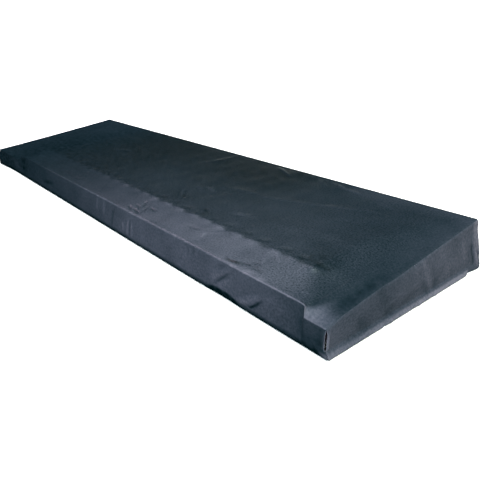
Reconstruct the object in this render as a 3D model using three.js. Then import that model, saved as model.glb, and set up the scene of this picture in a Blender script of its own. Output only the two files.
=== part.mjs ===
// Keyboard dust cover, fitted, sewn from one stretch cloth. A long wrap panel runs up the front,
// over the top and down the back, and an end panel is sewn into each end. The lower edge is a hem
// turned under all round, and the underside is open.
//
// Millimetres, +Z up. The cover is laid out from its front left corner: x runs right along the
// length, y runs back from the front hem, and z runs up from the lowest point of the hem. The group
// at the end moves the origin to the middle of the top's underside, where the cover is held up.
import * as THREE from "three";

// Outline of the cover
const LENGTH = 1035.5; // end seam to end seam, along the top
const DEPTH = 297.5; // front hem to rear top edge
const END_FRONT_HEIGHT = 36; // front top edge at the two ends
const RAIL_HEIGHT = 48.5; // front top edge along the raised middle length
const RAIL_SETBACK = 3.5; // how far that raised edge lies behind the front hem
const REAR_HEIGHT = 77.2; // rear top edge
const REAR_LEAN = 23.5; // how far the back leans out on its way down
const LEFT_END_CROWN = -1; // how far an end panel's top edge bows up from a straight line
const RIGHT_END_CROWN = 1;
const RIGHT_HUMP = { height: 2.6, rise: [0, 25], fall: [85, 120] }; // a low hump at its front

// Cloth, seams and hem
const THICKNESS = 1.5;
const SEAM_GAP = 0.4; // between the cut edges of two panels
const SEAM_ROLL = 3; // how far from a seam the cloth starts to roll over into it
const CORNER_PINCH = 1.2; // how deep the upright corner seams draw in
const HEM_BAND = 10; // height of the stitched hem
const HEM_FLARE = 5; // how far the hem stands out from an end panel
const HEM_FOLD_RADIUS = 4;
const HEM_LIP = 12; // width of hem that lies flat under the cover

// Raised forms that show through the tight cloth: a front rail, a row of short bars in twos and
// threes behind it, and a flat deck that runs back to the rear edge
const RAIL_LEFT = 157;
const RAIL_LENGTH = 846;
const RAIL_RIGHT = RAIL_LEFT + RAIL_LENGTH;
const RAIL_STEP = 3; // length over which the front edge climbs on to the rail
const BAR_TIP_Y = 54.5; // behind the front top edge, as are all places on the top
const BAR_TIP_HEIGHT = 58.5;
const BAR_WIDTH = 13.7;
const BAR_GROUPS = 5;
const BAR_GROUP_PITCH = 164.5;
const BAR_OFFSETS = [20, 50.5, 89.3, 117.5, 145.7]; // bar centres within one group
const DECK_FRONT_Y = 150;
const DECK_LEFT_FRONT_X = 122; // the deck's left edge, at its front and at the rear edge
const DECK_LEFT_REAR_X = 143;
const DECK_RIGHT_X = 1014;

// Net on which the tight cloth over the top is worked out
const NET_COLUMNS = 440;
const NET_ROWS = 74;
const NET_SWEEPS = 500;
const NET_RELAXATION = 1.92;

// Rows of each upright face, from the edge at its top down round the hem: the share of the drop to
// the hem's stitching, the share of the hem's band below that, the turn of the hem's fold in
// degrees, the width of lip that lies flat, and the share of the pinch in the upright corner seams
const FACE_ROWS = [
  { drop: 0.1, band: 0, turn: 0, lip: 0, pinch: 0.4 },
  { drop: 0.35, band: 0, turn: 0, lip: 0, pinch: 1 },
  { drop: 0.7, band: 0, turn: 0, lip: 0, pinch: 1 },
  { drop: 1, band: 0, turn: 0, lip: 0, pinch: 1 },
  { drop: 1, band: 1, turn: 0, lip: 0, pinch: 0 },
  { drop: 1, band: 1, turn: 45, lip: 0, pinch: 0 },
  { drop: 1, band: 1, turn: 90, lip: 0, pinch: 0 },
  { drop: 1, band: 1, turn: 90, lip: HEM_LIP, pinch: 0 },
];

// Rows of the top, by their distance behind the front top edge
const TOP_ROWS = [SEAM_ROLL, 18, 36, 49, 57, 70, 96, 134, 172, 208, 240, 270, DEPTH - SEAM_ROLL];

// Columns of the wrap panel outside the bars: the left end and its step, then the right ones
const LEFT_COLUMNS = [SEAM_ROLL, 40, 80, 112, 132, 145, RAIL_LEFT - RAIL_STEP, RAIL_LEFT];
const RIGHT_COLUMNS = [985, RAIL_RIGHT, RAIL_RIGHT + RAIL_STEP, 1019, LENGTH - SEAM_ROLL];
const FLARE_ZONE = 60; // length at each end over which the columns fan out to the flared hem

// Folds, one a row: the middle of the fold on its face, its heading from the face's long way in
// degrees, its length and width, and how high it stands (a trough is negative)
const TOP_FOLDS = [
  { along: 550, up: 243, heading: 67, length: 100, width: 26, height: 2.4 },
  { along: 712, up: 266, heading: -18, length: 70, width: 22, height: 1.4 },
  { along: 800, up: 264, heading: -28, length: 80, width: 22, height: 1.4 },
];
const FRONT_FOLDS = [
  { along: 556, up: 33, heading: 70, length: 30, width: 20, height: 1.1 },
  { along: 596, up: 27, heading: 70, length: 32, width: 20, height: 1.1 },
  { along: 640, up: 33, heading: 75, length: 30, width: 20, height: 1.1 },
  { along: 868, up: 26, heading: -40, length: 46, width: 20, height: -1.6 },
  { along: 921, up: 11, heading: 25, length: 54, width: 18, height: 2.2 },
];
const RIGHT_END_FOLDS = [
  { along: 94, up: 30, heading: 60, length: 44, width: 24, height: -1.1 },
  { along: 176, up: 34, heading: 76, length: 46, width: 26, height: 1.5 },
  { along: 212, up: 32, heading: 70, length: 46, width: 26, height: 1.2 },
];
const LEFT_END_FOLDS = [
  { along: 110, up: 30, heading: 70, length: 44, width: 26, height: 1.2 },
  { along: 205, up: 34, heading: 65, length: 48, width: 28, height: -1.1 },
];

const CLOTH_COLOUR = 0x2c343c;
const CLOTH_ROUGHNESS = 0.82;

const RIGHT = 1;
const LEFT = -1;
const RIGHTWARD = new THREE.Vector3(1, 0, 0);
const BACKWARD = new THREE.Vector3(0, 1, 0);

const { clamp, lerp, smoothstep, degToRad } = THREE.MathUtils;

// Height of an end panel's top edge: a nearly straight rise, with a low hump on the right
function endHeight(side, y) {
  const share = y / DEPTH;
  const crown = side > 0 ? RIGHT_END_CROWN : LEFT_END_CROWN;
  const hump = smoothstep(y, ...RIGHT_HUMP.rise) - smoothstep(y, ...RIGHT_HUMP.fall);
  const lift = side > 0 ? RIGHT_HUMP.height * hump : 0;
  return lerp(END_FRONT_HEIGHT, REAR_HEIGHT, share) + 4 * crown * share * (1 - share) + lift;
}

// The front top edge climbs a short step on to the rail and down off it
function railShare(x) {
  const climb = smoothstep(x, RAIL_LEFT - RAIL_STEP, RAIL_LEFT);
  const descent = smoothstep(x, RAIL_RIGHT, RAIL_RIGHT + RAIL_STEP);
  return climb - descent;
}

function frontEdgeHeight(x) {
  return lerp(END_FRONT_HEIGHT, RAIL_HEIGHT, railShare(x));
}

function frontEdgeY(x) {
  return RAIL_SETBACK * railShare(x);
}

// One slope carries the tops of the bars and the deck behind them
function deckHeight(y) {
  return lerp(BAR_TIP_HEIGHT, REAR_HEIGHT, (y - BAR_TIP_Y) / (DEPTH - BAR_TIP_Y));
}

function barCentres() {
  const centres = [];
  for (let group = 0; group < BAR_GROUPS; group += 1) {
    for (const offset of BAR_OFFSETS) {
      centres.push(RAIL_LEFT + group * BAR_GROUP_PITCH + offset);
    }
  }
  return centres;
}

const BAR_CENTRES = barCentres();

// True where a bar or the deck stands under the cloth
function bearsOn(x, y) {
  if (y < BAR_TIP_Y) {
    return false;
  }
  if (y < DECK_FRONT_Y) {
    return BAR_CENTRES.some((centre) => Math.abs(x - centre) <= BAR_WIDTH / 2);
  }
  const share = (y - DECK_FRONT_Y) / (DEPTH - DECK_FRONT_Y);
  return x >= lerp(DECK_LEFT_FRONT_X, DECK_LEFT_REAR_X, share) && x <= DECK_RIGHT_X;
}

// Heights of the cloth over the top, drawn tight between its four edges and over the raised forms:
// each free point of the net settles at the mean of its neighbours, and none sinks into a form
function tightNet() {
  const stepX = LENGTH / NET_COLUMNS;
  const stepY = DEPTH / NET_ROWS;
  const acrossWeight = stepY ** 2 / (2 * (stepX ** 2 + stepY ** 2));
  const alongWeight = 0.5 - acrossWeight;
  const stride = NET_COLUMNS + 1;
  const heights = new Float64Array(stride * (NET_ROWS + 1));
  const floors = new Float64Array(heights.length);
  for (let row = 0; row <= NET_ROWS; row += 1) {
    for (let column = 0; column <= NET_COLUMNS; column += 1) {
      const x = column * stepX;
      const y = row * stepY;
      const place = row * stride + column;
      const start = lerp(frontEdgeHeight(x), REAR_HEIGHT, row / NET_ROWS);
      const atLeft = column === 0;
      const atRight = column === NET_COLUMNS;
      heights[place] = atLeft || atRight ? endHeight(atRight ? RIGHT : LEFT, y) : start;
      floors[place] = bearsOn(x, y) ? deckHeight(y) : 0;
    }
  }
  for (let sweep = 0; sweep < NET_SWEEPS; sweep += 1) {
    for (let row = 1; row < NET_ROWS; row += 1) {
      for (let column = 1; column < NET_COLUMNS; column += 1) {
        const place = row * stride + column;
        const sideways = heights[place - 1] + heights[place + 1];
        const lengthways = heights[place - stride] + heights[place + stride];
        const mean = sideways * acrossWeight + lengthways * alongWeight;
        const settled = lerp(heights[place], mean, NET_RELAXATION);
        heights[place] = Math.max(settled, floors[place]);
      }
    }
  }
  return { heights, stride };
}

const NET = tightNet();

// Height of the tight cloth at any point of the top, between the points of the net
function tightHeight(x, y) {
  const across = clamp((x / LENGTH) * NET_COLUMNS, 0, NET_COLUMNS);
  const along = clamp((y / DEPTH) * NET_ROWS, 0, NET_ROWS);
  const column = Math.min(Math.floor(across), NET_COLUMNS - 1);
  const row = Math.min(Math.floor(along), NET_ROWS - 1);
  const place = row * NET.stride + column;
  const near = lerp(NET.heights[place], NET.heights[place + 1], across - column);
  const far = lerp(NET.heights[place + NET.stride], NET.heights[place + NET.stride + 1], across - column);
  return lerp(near, far, along - row);
}

// Sum of the soft folds of one face at a point of it
function foldHeight(folds, along, up) {
  let height = 0;
  for (const fold of folds) {
    const heading = degToRad(fold.heading);
    const east = along - fold.along;
    const north = up - fold.up;
    const lengthwise = (east * Math.cos(heading) + north * Math.sin(heading)) / (fold.length / 2);
    const crosswise = (north * Math.cos(heading) - east * Math.sin(heading)) / (fold.width / 2);
    height += fold.height * Math.exp(-(lengthwise ** 4) - crosswise ** 2);
  }
  return height;
}

function topHeight(x, y) {
  return tightHeight(x, y) + foldHeight(TOP_FOLDS, x, y);
}

// How far a face row's hem has turned in under the cover, and its height above the hem's lowest point
function hemInset(row) {
  return HEM_FOLD_RADIUS * (1 - Math.cos(degToRad(row.turn))) + row.lip;
}

function hemRise(row) {
  return HEM_FOLD_RADIUS * (1 - Math.sin(degToRad(row.turn)));
}

function faceHeight(edgeHeight, row) {
  const aboveHem = (edgeHeight - HEM_BAND) * (1 - row.drop);
  const onHem = (HEM_BAND - HEM_FOLD_RADIUS) * (1 - row.band);
  return aboveHem + onHem + hemRise(row);
}

// Point of a front row in the section at x: the front leans back on to the rail
function frontPoint(x, row) {
  const z = faceHeight(frontEdgeHeight(x), row);
  const fold = row.band === 0 ? foldHeight(FRONT_FOLDS, x, z) : 0;
  return { y: frontEdgeY(x) * (1 - row.drop) + hemInset(row) - fold, z };
}

// Point of a back row: the back leans out as it comes down
function backPoint(row) {
  return { y: DEPTH + REAR_LEAN * row.drop - hemInset(row), z: faceHeight(REAR_HEIGHT, row) };
}

// Point of a top row, by its distance behind the front top edge, which is set back on the rail
function topPoint(x, behind) {
  return { y: behind + frontEdgeY(x) * (1 - behind / DEPTH), z: topHeight(x, behind) };
}

// Point of a rounded top edge: half way to the sharp edge from the rows on either side of it
function roundedEdge(below, sharp, above) {
  return { y: (below.y + 2 * sharp.y + above.y) / 4, z: (below.z + 2 * sharp.z + above.z) / 4 };
}

function frontEdgePoint(x) {
  const sharp = { y: frontEdgeY(x), z: frontEdgeHeight(x) };
  return roundedEdge(frontPoint(x, FACE_ROWS[0]), sharp, topPoint(x, TOP_ROWS[0]));
}

function rearEdgePoint(x) {
  const sharp = { y: DEPTH, z: REAR_HEIGHT };
  return roundedEdge(backPoint(FACE_ROWS[0]), sharp, topPoint(x, TOP_ROWS.at(-1)));
}

// Rows of the whole section in order, from the front lip up over the top to the rear lip
const LEVEL = { drop: 0, band: 0, turn: 0, lip: 0, pinch: 0 };
const SECTION_ROWS = [
  ...FACE_ROWS.toReversed().map((row) => ({ row, at: (x) => frontPoint(x, row), facing: -1 })),
  { row: LEVEL, at: frontEdgePoint, facing: -1 },
  ...TOP_ROWS.map((behind) => ({ row: LEVEL, at: (x) => topPoint(x, behind), facing: 0 })),
  { row: LEVEL, at: rearEdgePoint, facing: 1 },
  ...FACE_ROWS.map((row) => ({ row, at: () => backPoint(row), facing: 1 })),
];

// How far a row stands out beyond the end seam of the top
function endReach(row) {
  return HEM_FLARE * row.band - hemInset(row);
}

function endX(side, reach) {
  return side > 0 ? LENGTH + reach : -reach;
}

// Seam between the wrap panel and one end panel: for each row of the section, the point on the
// seam's line, the way out of the cloth there, and the way across the seam to the end panel
function seamLine(side) {
  const edgeX = side > 0 ? LENGTH : 0;
  const corners = SECTION_ROWS.map(({ row, at }) => {
    const point = at(edgeX);
    return new THREE.Vector3(endX(side, endReach(row)), point.y, point.z);
  });
  const outward = RIGHTWARD.clone().multiplyScalar(side);
  return SECTION_ROWS.map(({ row, facing }, place) => {
    const before = corners[Math.max(place - 1, 0)];
    const after = corners[Math.min(place + 1, corners.length - 1)];
    const along = after.clone().sub(before).normalize();
    const wrapFacing = new THREE.Vector3(0, before.z - after.z, after.y - before.y).normalize();
    const turn = degToRad(row.turn);
    const endFacing = new THREE.Vector3(side * Math.cos(turn), 0, -Math.sin(turn));
    const out = wrapFacing.clone().add(endFacing).normalize();
    const across = along.clone().cross(out).normalize().multiplyScalar(side);
    const intoEnd = row.turn > 0 ? BACKWARD.clone().multiplyScalar(-facing) : wrapFacing.clone().negate();
    const point = corners[place]
      .clone()
      .addScaledVector(intoEnd.sub(outward), SEAM_ROLL / 4)
      .addScaledVector(out, -CORNER_PINCH * row.pinch);
    return { point, out, across };
  });
}

// The cut edge of a panel at the seam, half a gap to its own side: sign is -1 for the wrap panel
function cutEdge(stitch, sign) {
  const point = stitch.point.clone().addScaledVector(stitch.across, (sign * SEAM_GAP) / 2);
  return { point, out: stitch.out };
}

// The way out of a grid of points, from its neighbours on both sides; flip is -1 where rows times
// columns run the other way round
function gridFacing(grid, row, column, flip) {
  const rows = grid.length - 1;
  const columns = grid[0].length - 1;
  const left = grid[row][Math.max(column - 1, 0)].point;
  const right = grid[row][Math.min(column + 1, columns)].point;
  const lower = grid[Math.max(row - 1, 0)][column].point;
  const upper = grid[Math.min(row + 1, rows)][column].point;
  const across = right.clone().sub(left);
  return across.cross(upper.clone().sub(lower)).normalize().multiplyScalar(flip);
}

// A closed sheet of cloth: the grid is its outer face, its inner face lies one thickness in, and a
// narrow wall joins the two along the cut edges
function clothSheet(grid, flip) {
  const rows = grid.length;
  const columns = grid[0].length;
  const layerSize = rows * columns;
  const positions = [];
  const inner = [];
  for (let row = 0; row < rows; row += 1) {
    for (let column = 0; column < columns; column += 1) {
      const { point, out } = grid[row][column];
      const facing = out ?? gridFacing(grid, row, column, flip);
      positions.push(point.x, point.y, point.z);
      inner.push(...point.clone().addScaledVector(facing, -THICKNESS).toArray());
    }
  }
  const faces = [];
  const addQuad = (a, b, c, d) => {
    const loop = flip > 0 ? [a, b, c, a, c, d] : [a, c, b, a, d, c];
    faces.push(...loop);
  };
  const at = (row, column, layer) => layer * layerSize + row * columns + column;
  for (let row = 0; row < rows - 1; row += 1) {
    for (let column = 0; column < columns - 1; column += 1) {
      addQuad(at(row, column, 0), at(row, column + 1, 0), at(row + 1, column + 1, 0), at(row + 1, column, 0));
      addQuad(at(row, column, 1), at(row + 1, column, 1), at(row + 1, column + 1, 1), at(row, column + 1, 1));
    }
  }
  for (let row = 0; row < rows - 1; row += 1) {
    const last = columns - 1;
    addQuad(at(row, 0, 0), at(row + 1, 0, 0), at(row + 1, 0, 1), at(row, 0, 1));
    addQuad(at(row, last, 0), at(row, last, 1), at(row + 1, last, 1), at(row + 1, last, 0));
  }
  for (let column = 0; column < columns - 1; column += 1) {
    const last = rows - 1;
    addQuad(at(0, column, 0), at(0, column, 1), at(0, column + 1, 1), at(0, column + 1, 0));
    addQuad(at(last, column, 0), at(last, column + 1, 0), at(last, column + 1, 1), at(last, column, 1));
  }
  const geometry = new THREE.BufferGeometry();
  geometry.setAttribute("position", new THREE.Float32BufferAttribute([...positions, ...inner], 3));
  geometry.setIndex(faces);
  geometry.computeVertexNormals();
  return geometry;
}

// Columns of the wrap panel: one on each bar and one half way between two bars
function wrapColumns() {
  const columns = [...LEFT_COLUMNS];
  BAR_CENTRES.forEach((centre, place) => {
    if (place > 0) {
      columns.push((BAR_CENTRES[place - 1] + centre) / 2);
    }
    columns.push(centre);
  });
  return [...columns, ...RIGHT_COLUMNS];
}

// Share of the flare that a column takes: all of it at the seams, none past the flare zone
function flareShare(x) {
  const span = FLARE_ZONE - SEAM_ROLL;
  const right = clamp((x - LENGTH + FLARE_ZONE) / span, 0, 1);
  const left = clamp((FLARE_ZONE - x) / span, 0, 1);
  return right - left;
}

function wrapPanel() {
  const leftSeam = seamLine(LEFT);
  const rightSeam = seamLine(RIGHT);
  const columns = wrapColumns();
  const grid = SECTION_ROWS.map(({ row, at }, place) => {
    const middle = columns.map((x) => {
      const { y, z } = at(x);
      return { point: new THREE.Vector3(x + flareShare(x) * endReach(row), y, z) };
    });
    return [cutEdge(leftSeam[place], -1), ...middle, cutEdge(rightSeam[place], -1)];
  });
  return clothSheet(grid, 1);
}

// Point inside an end panel, under the top row at y: it keeps its share of the way from the front
// corner to the rear one all the way down
function endPanelPoint(side, y, row, folds) {
  const inset = hemInset(row);
  const along = lerp(inset, DEPTH + REAR_LEAN * row.drop - inset, y / DEPTH);
  const z = faceHeight(endHeight(side, y), row);
  const fold = row.band === 0 ? foldHeight(folds, along, z) : 0;
  return new THREE.Vector3(endX(side, endReach(row) + fold), along, z);
}

function endPanel(side, folds) {
  const seam = seamLine(side).map((stitch) => cutEdge(stitch, 1));
  const depth = FACE_ROWS.length;
  const topStart = depth + 1;
  const rearStart = topStart + TOP_ROWS.length;
  const topEdge = seam.slice(depth, rearStart + 1);
  const lowerRows = FACE_ROWS.map((row, place) => {
    const middle = TOP_ROWS.map((y) => ({ point: endPanelPoint(side, y, row, folds) }));
    return [seam[depth - 1 - place], ...middle, seam[rearStart + 1 + place]];
  });
  return clothSheet([topEdge, ...lowerRows], -side);
}

function clothMesh(name, geometry) {
  const material = new THREE.MeshStandardMaterial({
    color: CLOTH_COLOUR,
    roughness: CLOTH_ROUGHNESS,
    metalness: 0,
  });
  const mesh = new THREE.Mesh(geometry, material);
  mesh.name = name;
  return mesh;
}

// The cover is held up at the middle of its top, on the underside of the cloth
const HELD_BEHIND = 160; // behind the front top edge, where the cloth lies flat on the deck
const heldAt = topPoint(LENGTH / 2, HELD_BEHIND);

const cover = new THREE.Group();
cover.add(clothMesh("wrap_panel", wrapPanel()));
cover.add(clothMesh("left_end_panel", endPanel(LEFT, LEFT_END_FOLDS)));
cover.add(clothMesh("right_end_panel", endPanel(RIGHT, RIGHT_END_FOLDS)));
cover.position.set(-LENGTH / 2, -heldAt.y, THICKNESS - heldAt.z);

export default cover;
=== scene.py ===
# %% [markdown]
# # A fitted dust cover in stretch cloth
# The cover is a long box of dark knit, open underneath and drawn tight, so that raised forms show
# through its top. It is sewn from a long wrap panel and two end panels. This lesson lays each panel
# out as a fine grid of points, gives it a thickness, and then finishes it with a knit material.

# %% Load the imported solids
import math
from collections import namedtuple
import bpy
import numpy as np
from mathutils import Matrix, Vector


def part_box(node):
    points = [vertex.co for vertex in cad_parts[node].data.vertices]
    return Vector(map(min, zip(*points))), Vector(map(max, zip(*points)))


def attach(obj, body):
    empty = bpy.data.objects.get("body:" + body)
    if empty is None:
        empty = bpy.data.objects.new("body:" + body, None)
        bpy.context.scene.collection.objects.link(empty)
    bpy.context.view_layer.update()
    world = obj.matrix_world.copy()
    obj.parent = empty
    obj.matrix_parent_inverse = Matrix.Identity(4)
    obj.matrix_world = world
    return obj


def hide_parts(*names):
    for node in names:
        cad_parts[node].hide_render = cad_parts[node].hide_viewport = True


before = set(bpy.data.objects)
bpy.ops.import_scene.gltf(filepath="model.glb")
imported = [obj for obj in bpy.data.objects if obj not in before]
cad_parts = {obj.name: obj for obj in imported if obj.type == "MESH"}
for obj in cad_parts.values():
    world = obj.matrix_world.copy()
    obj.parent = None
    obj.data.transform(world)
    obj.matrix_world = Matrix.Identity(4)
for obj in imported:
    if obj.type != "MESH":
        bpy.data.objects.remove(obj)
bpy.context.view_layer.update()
wrap_low, wrap_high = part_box("wrap_panel")

# %% [markdown]
# ## The cover's own sizes
# A pattern cutter works from a few sizes, and so does this script. Places on the cover are in
# millimetres: x runs right from the left end, y runs back from the front hem, and z runs up from the
# hem. One function at the end of this step carries them into the frame, where the solids are.

# %% Sizes of the cover, in millimetres
LENGTH = 1035.5
DEPTH = 297.5
END_FRONT_HEIGHT = 36
RAIL_HEIGHT = 48.5
RAIL_SETBACK = 3.5
REAR_HEIGHT = 77.2
REAR_LEAN = 23.5
END_CROWNS = {-1: -1.0, 1: 1.0}
HUMP_HEIGHT = 2.6
HUMP_RISE = (0, 25)
HUMP_FALL = (85, 120)

THICKNESS = 1.0
SEAM_ROLL = 3.0
HEM_BAND = 10
HEM_FLARE = 4.5
REAR_FLARE = 0.5
HEM_FOLD_RADIUS = 2.5
HEM_LIP = 12

RAIL_LEFT = 157
RAIL_RIGHT = RAIL_LEFT + 846
RAIL_STEP = 3
BAR_TIP = 54.5
BAR_TIP_HEIGHT = 58.5
BAR_WIDTH = 13.7
BAR_GROUP_PITCH = 164.5
BAR_OFFSETS = (20, 50.5, 89.3, 117.5, 145.7)
BAR_GROUPS = 5
DECK_FRONT = 150
DECK_LEFT = (122, 143)
DECK_RIGHT = (972, 1016)

LEFT, RIGHT = -1, 1
MM = 0.001
ORIGIN = np.array([
    (wrap_low.x + wrap_high.x) / 2 - LENGTH / 2 * MM,
    wrap_high.y - (DEPTH + REAR_LEAN) * MM,
    wrap_low.z,
])


def in_frame(points):
    return np.asarray(points) * MM + ORIGIN


print("front left corner of the hem, in the frame", in_frame((0, 0, 0)).round(4))

# %% [markdown]
# ## The camera
# The camera stands where the photograph was taken from: to the right of the front, a little above
# the cover, close enough for the near corner to look much larger than the far one. It comes first,
# so that every later step can be looked at through it.

# %% Camera
CAMERA_PLACE = (1283.75, -321.71, 299.75)
CAMERA_AZIMUTH = 49.5
CAMERA_ELEVATION = 23.11
CAMERA_LENS = 36.57
CAMERA_SENSOR = 36


def looking_back(azimuth, elevation):
    """The way to a viewer, turned right from the front and raised, both in degrees."""
    a, e = math.radians(azimuth), math.radians(elevation)
    return Vector((math.sin(a) * math.cos(e), -math.cos(a) * math.cos(e), math.sin(e)))


def aim(made, back):
    """Turns a camera or a lamp to look against the way back."""
    made.rotation_mode = "QUATERNION"
    made.rotation_quaternion = (-back).to_track_quat("-Z", "Y")


camera_data = bpy.data.cameras.new("camera")
camera_data.lens = CAMERA_LENS
camera_data.sensor_width = CAMERA_SENSOR
camera_data.clip_start = 0.05
camera_data.clip_end = 60
camera = bpy.data.objects.new("camera", camera_data)
bpy.context.scene.collection.objects.link(camera)
camera.location = in_frame(CAMERA_PLACE)
aim(camera, looking_back(CAMERA_AZIMUTH, CAMERA_ELEVATION))
bpy.context.scene.camera = camera
print("camera at", [round(value, 3) for value in camera.location])

# %% [markdown]
# ## The edges that hold the cloth
# Tight cloth is decided by what it is drawn over. The end panels' top edges rise from front to back,
# the front edge climbs a short step on to a rail and off it again, and small gaps along the rail
# leave notches in the edge. Behind the rail a row of short bars and a flat deck hold the cloth up.
# These are plain formulas of x and y, so numpy can work out a whole row of points at once.

# %% Edges and raised forms
GAP_PITCH = 23.5
NOTCH_DEPTH = 0.35
NOTCH_WIDTH = 1.7


def ramp(low, high, value):
    """From 0 at low to 1 at high with soft ends, falling where low is the larger."""
    share = np.clip((value - low) / (high - low), 0, 1)
    return share * share * (3 - 2 * share)


def bell(away, width):
    """1 in the middle, and little is left a width and a half away."""
    return np.exp(-((away / width) ** 2))


def end_height(side, y):
    share = y / DEPTH
    straight = END_FRONT_HEIGHT + (REAR_HEIGHT - END_FRONT_HEIGHT) * share
    hump = ramp(*HUMP_RISE, y) - ramp(*HUMP_FALL, y)
    crown = 4 * END_CROWNS[side] * share * (1 - share)
    return straight + crown + HUMP_HEIGHT * hump * (side == RIGHT)


def rail_share(x):
    return ramp(RAIL_LEFT - RAIL_STEP, RAIL_LEFT, x) - ramp(RAIL_RIGHT, RAIL_RIGHT + RAIL_STEP, x)


def front_edge_height(x):
    to_gap = (x - RAIL_LEFT + GAP_PITCH / 2) % GAP_PITCH - GAP_PITCH / 2
    notch = NOTCH_DEPTH * bell(to_gap, NOTCH_WIDTH)
    return END_FRONT_HEIGHT + (RAIL_HEIGHT - END_FRONT_HEIGHT - notch) * rail_share(x)


def front_edge_y(x):
    return RAIL_SETBACK * rail_share(x)


def deck_height(behind):
    return BAR_TIP_HEIGHT + (REAR_HEIGHT - BAR_TIP_HEIGHT) * (behind - BAR_TIP) / (DEPTH - BAR_TIP)


BAR_CENTRES = np.array([
    RAIL_LEFT + group * BAR_GROUP_PITCH + offset
    for group in range(BAR_GROUPS) for offset in BAR_OFFSETS
])


def to_nearest_bar(x):
    return np.abs(x[:, None] - BAR_CENTRES[None, :]).min(axis=1)


def bears_on(x, behind):
    """Where a bar or the deck lies under the cloth."""
    on_bar = (to_nearest_bar(x) <= BAR_WIDTH / 2)[None, :] & (behind >= BAR_TIP)[:, None]
    share = np.clip((behind - DECK_FRONT) / (DEPTH - DECK_FRONT), 0, 1)[:, None]
    deck_left = DECK_LEFT[0] + (DECK_LEFT[1] - DECK_LEFT[0]) * share
    deck_right = DECK_RIGHT[0] + (DECK_RIGHT[1] - DECK_RIGHT[0]) * share
    on_deck = (behind >= DECK_FRONT)[:, None] & (x[None, :] >= deck_left) & (x[None, :] <= deck_right)
    return on_bar & (behind < DECK_FRONT)[:, None] | on_deck


print("bars under the cloth", len(BAR_CENTRES))

# %% [markdown]
# ## Columns and rows of the wrap panel
# The wrap panel is one grid. Its columns run round the section, from the front hem up over the top
# and down to the rear hem, and they stand closer where the cloth does more: at the seams, at the two
# steps and along the bars. Uneven spacing keeps the detail without wasting points on plain cloth.
# The rows of an upright face run down it, then over the hem's band, its fold and the lip beneath.

# %% Columns and rows
EDGE_ROLL = 1.5
SEAM_STOPS = SEAM_ROLL * np.array([0.25, 0.42, 0.65, 1.0, 1.5, 2.1, 2.9])


def spread(start, stop, step):
    """Even places from start to just before stop, about a step apart."""
    return np.linspace(start, stop, max(1, round((stop - start) / step)) + 1)[:-1]


COLUMNS = np.concatenate([
    SEAM_STOPS[:-1],
    spread(SEAM_STOPS[-1], 150, 5.5),
    spread(150, 162, 1.5),
    spread(162, 520, 3.7),
    spread(520, 996, 1.9),
    spread(996, 1012, 1.2),
    spread(1012, LENGTH - SEAM_STOPS[-1], 1.9),
    LENGTH - SEAM_STOPS[::-1],
])
BEHIND = np.concatenate([
    [0],
    spread(EDGE_ROLL, 64, 1.9),
    spread(64, DECK_FRONT, 2.9),
    spread(DECK_FRONT, 264, 4.4),
    spread(264, DEPTH - EDGE_ROLL, 2.6),
    [DEPTH - EDGE_ROLL, DEPTH],
])
EDGE_TURNS = np.array([1, 2, 3, 4, 5]) / 6
FIRST_DROP = 0.06

FaceRows = namedtuple("FaceRows", "drop band turn lip")


def face_rows(face_count, band_count, turn_count, lip_count):
    drop = np.linspace(FIRST_DROP, 1, face_count)
    band = np.linspace(0, 1, band_count + 1)[1:]
    turn = np.linspace(0, 90, turn_count + 1)[1:]
    lip = np.linspace(0, HEM_LIP, lip_count + 1)[1:]
    rest = band_count + turn_count + lip_count
    return FaceRows(
        np.concatenate([drop, np.ones(rest)]),
        np.concatenate([np.zeros(face_count), band, np.ones(turn_count + lip_count)]),
        np.concatenate([np.zeros(face_count + band_count), turn, np.full(lip_count, 90.0)]),
        np.concatenate([np.zeros(rest - lip_count + face_count), lip]),
    )


FACE = face_rows(face_count=17, band_count=6, turn_count=4, lip_count=3)
print("columns", len(COLUMNS), "top rows", len(BEHIND), "face rows", len(FACE.drop))

# %% [markdown]
# ## Drawing the cloth tight
# A tight knit over a hard form settles like a soap film that may not sink into the form: each free
# point comes to rest at the mean of its neighbours. Blender's cloth simulation could do this too,
# but a film is exact, quick and the same on every run. The points are settled in two turns, like
# the squares of a chessboard, so that numpy can move half of them at once. Towards the left end the
# cloth lies softer over the bars, so there the film is smoothed a few times more.

# %% Tight cloth over the top
NET_SWEEPS = 700
NET_RELAXATION = 1.93
SAG_PULL = 0.006
SAG_MIDDLE = 54
SAG_REACH = 8
LOOSE_PASSES = 8
LOOSE_FADE = (560, 260)


def spacing_weights(places):
    before, after = np.diff(places)[:-1], np.diff(places)[1:]
    return 1 / (before * (before + after)), 1 / (after * (before + after))


def tight_heights(x, behind):
    front = front_edge_height(x)
    heights = front + (REAR_HEIGHT - front) * (behind / DEPTH)[:, None]
    heights[:, 0] = end_height(LEFT, behind)
    heights[:, -1] = end_height(RIGHT, behind)
    floors = np.where(bears_on(x, behind), deck_height(behind)[:, None], 0)[1:-1, 1:-1]
    left, right = spacing_weights(x)
    nearer, further = (weights[:, None] for weights in spacing_weights(behind))
    total = left + right + nearer + further
    pull = SAG_PULL * bell(behind - SAG_MIDDLE, SAG_REACH)[1:-1, None] / 2
    squares = np.add.outer(np.arange(len(behind) - 2), np.arange(len(x) - 2)) % 2
    inner = heights[1:-1, 1:-1]
    for sweep in range(2 * NET_SWEEPS):
        sideways = left * heights[1:-1, :-2] + right * heights[1:-1, 2:]
        lengthways = nearer * heights[:-2, 1:-1] + further * heights[2:, 1:-1]
        settled = inner + NET_RELAXATION * ((sideways + lengthways - pull) / total - inner)
        inner[:] = np.where(squares == sweep % 2, np.maximum(settled, floors), inner)
    return heights


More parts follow.
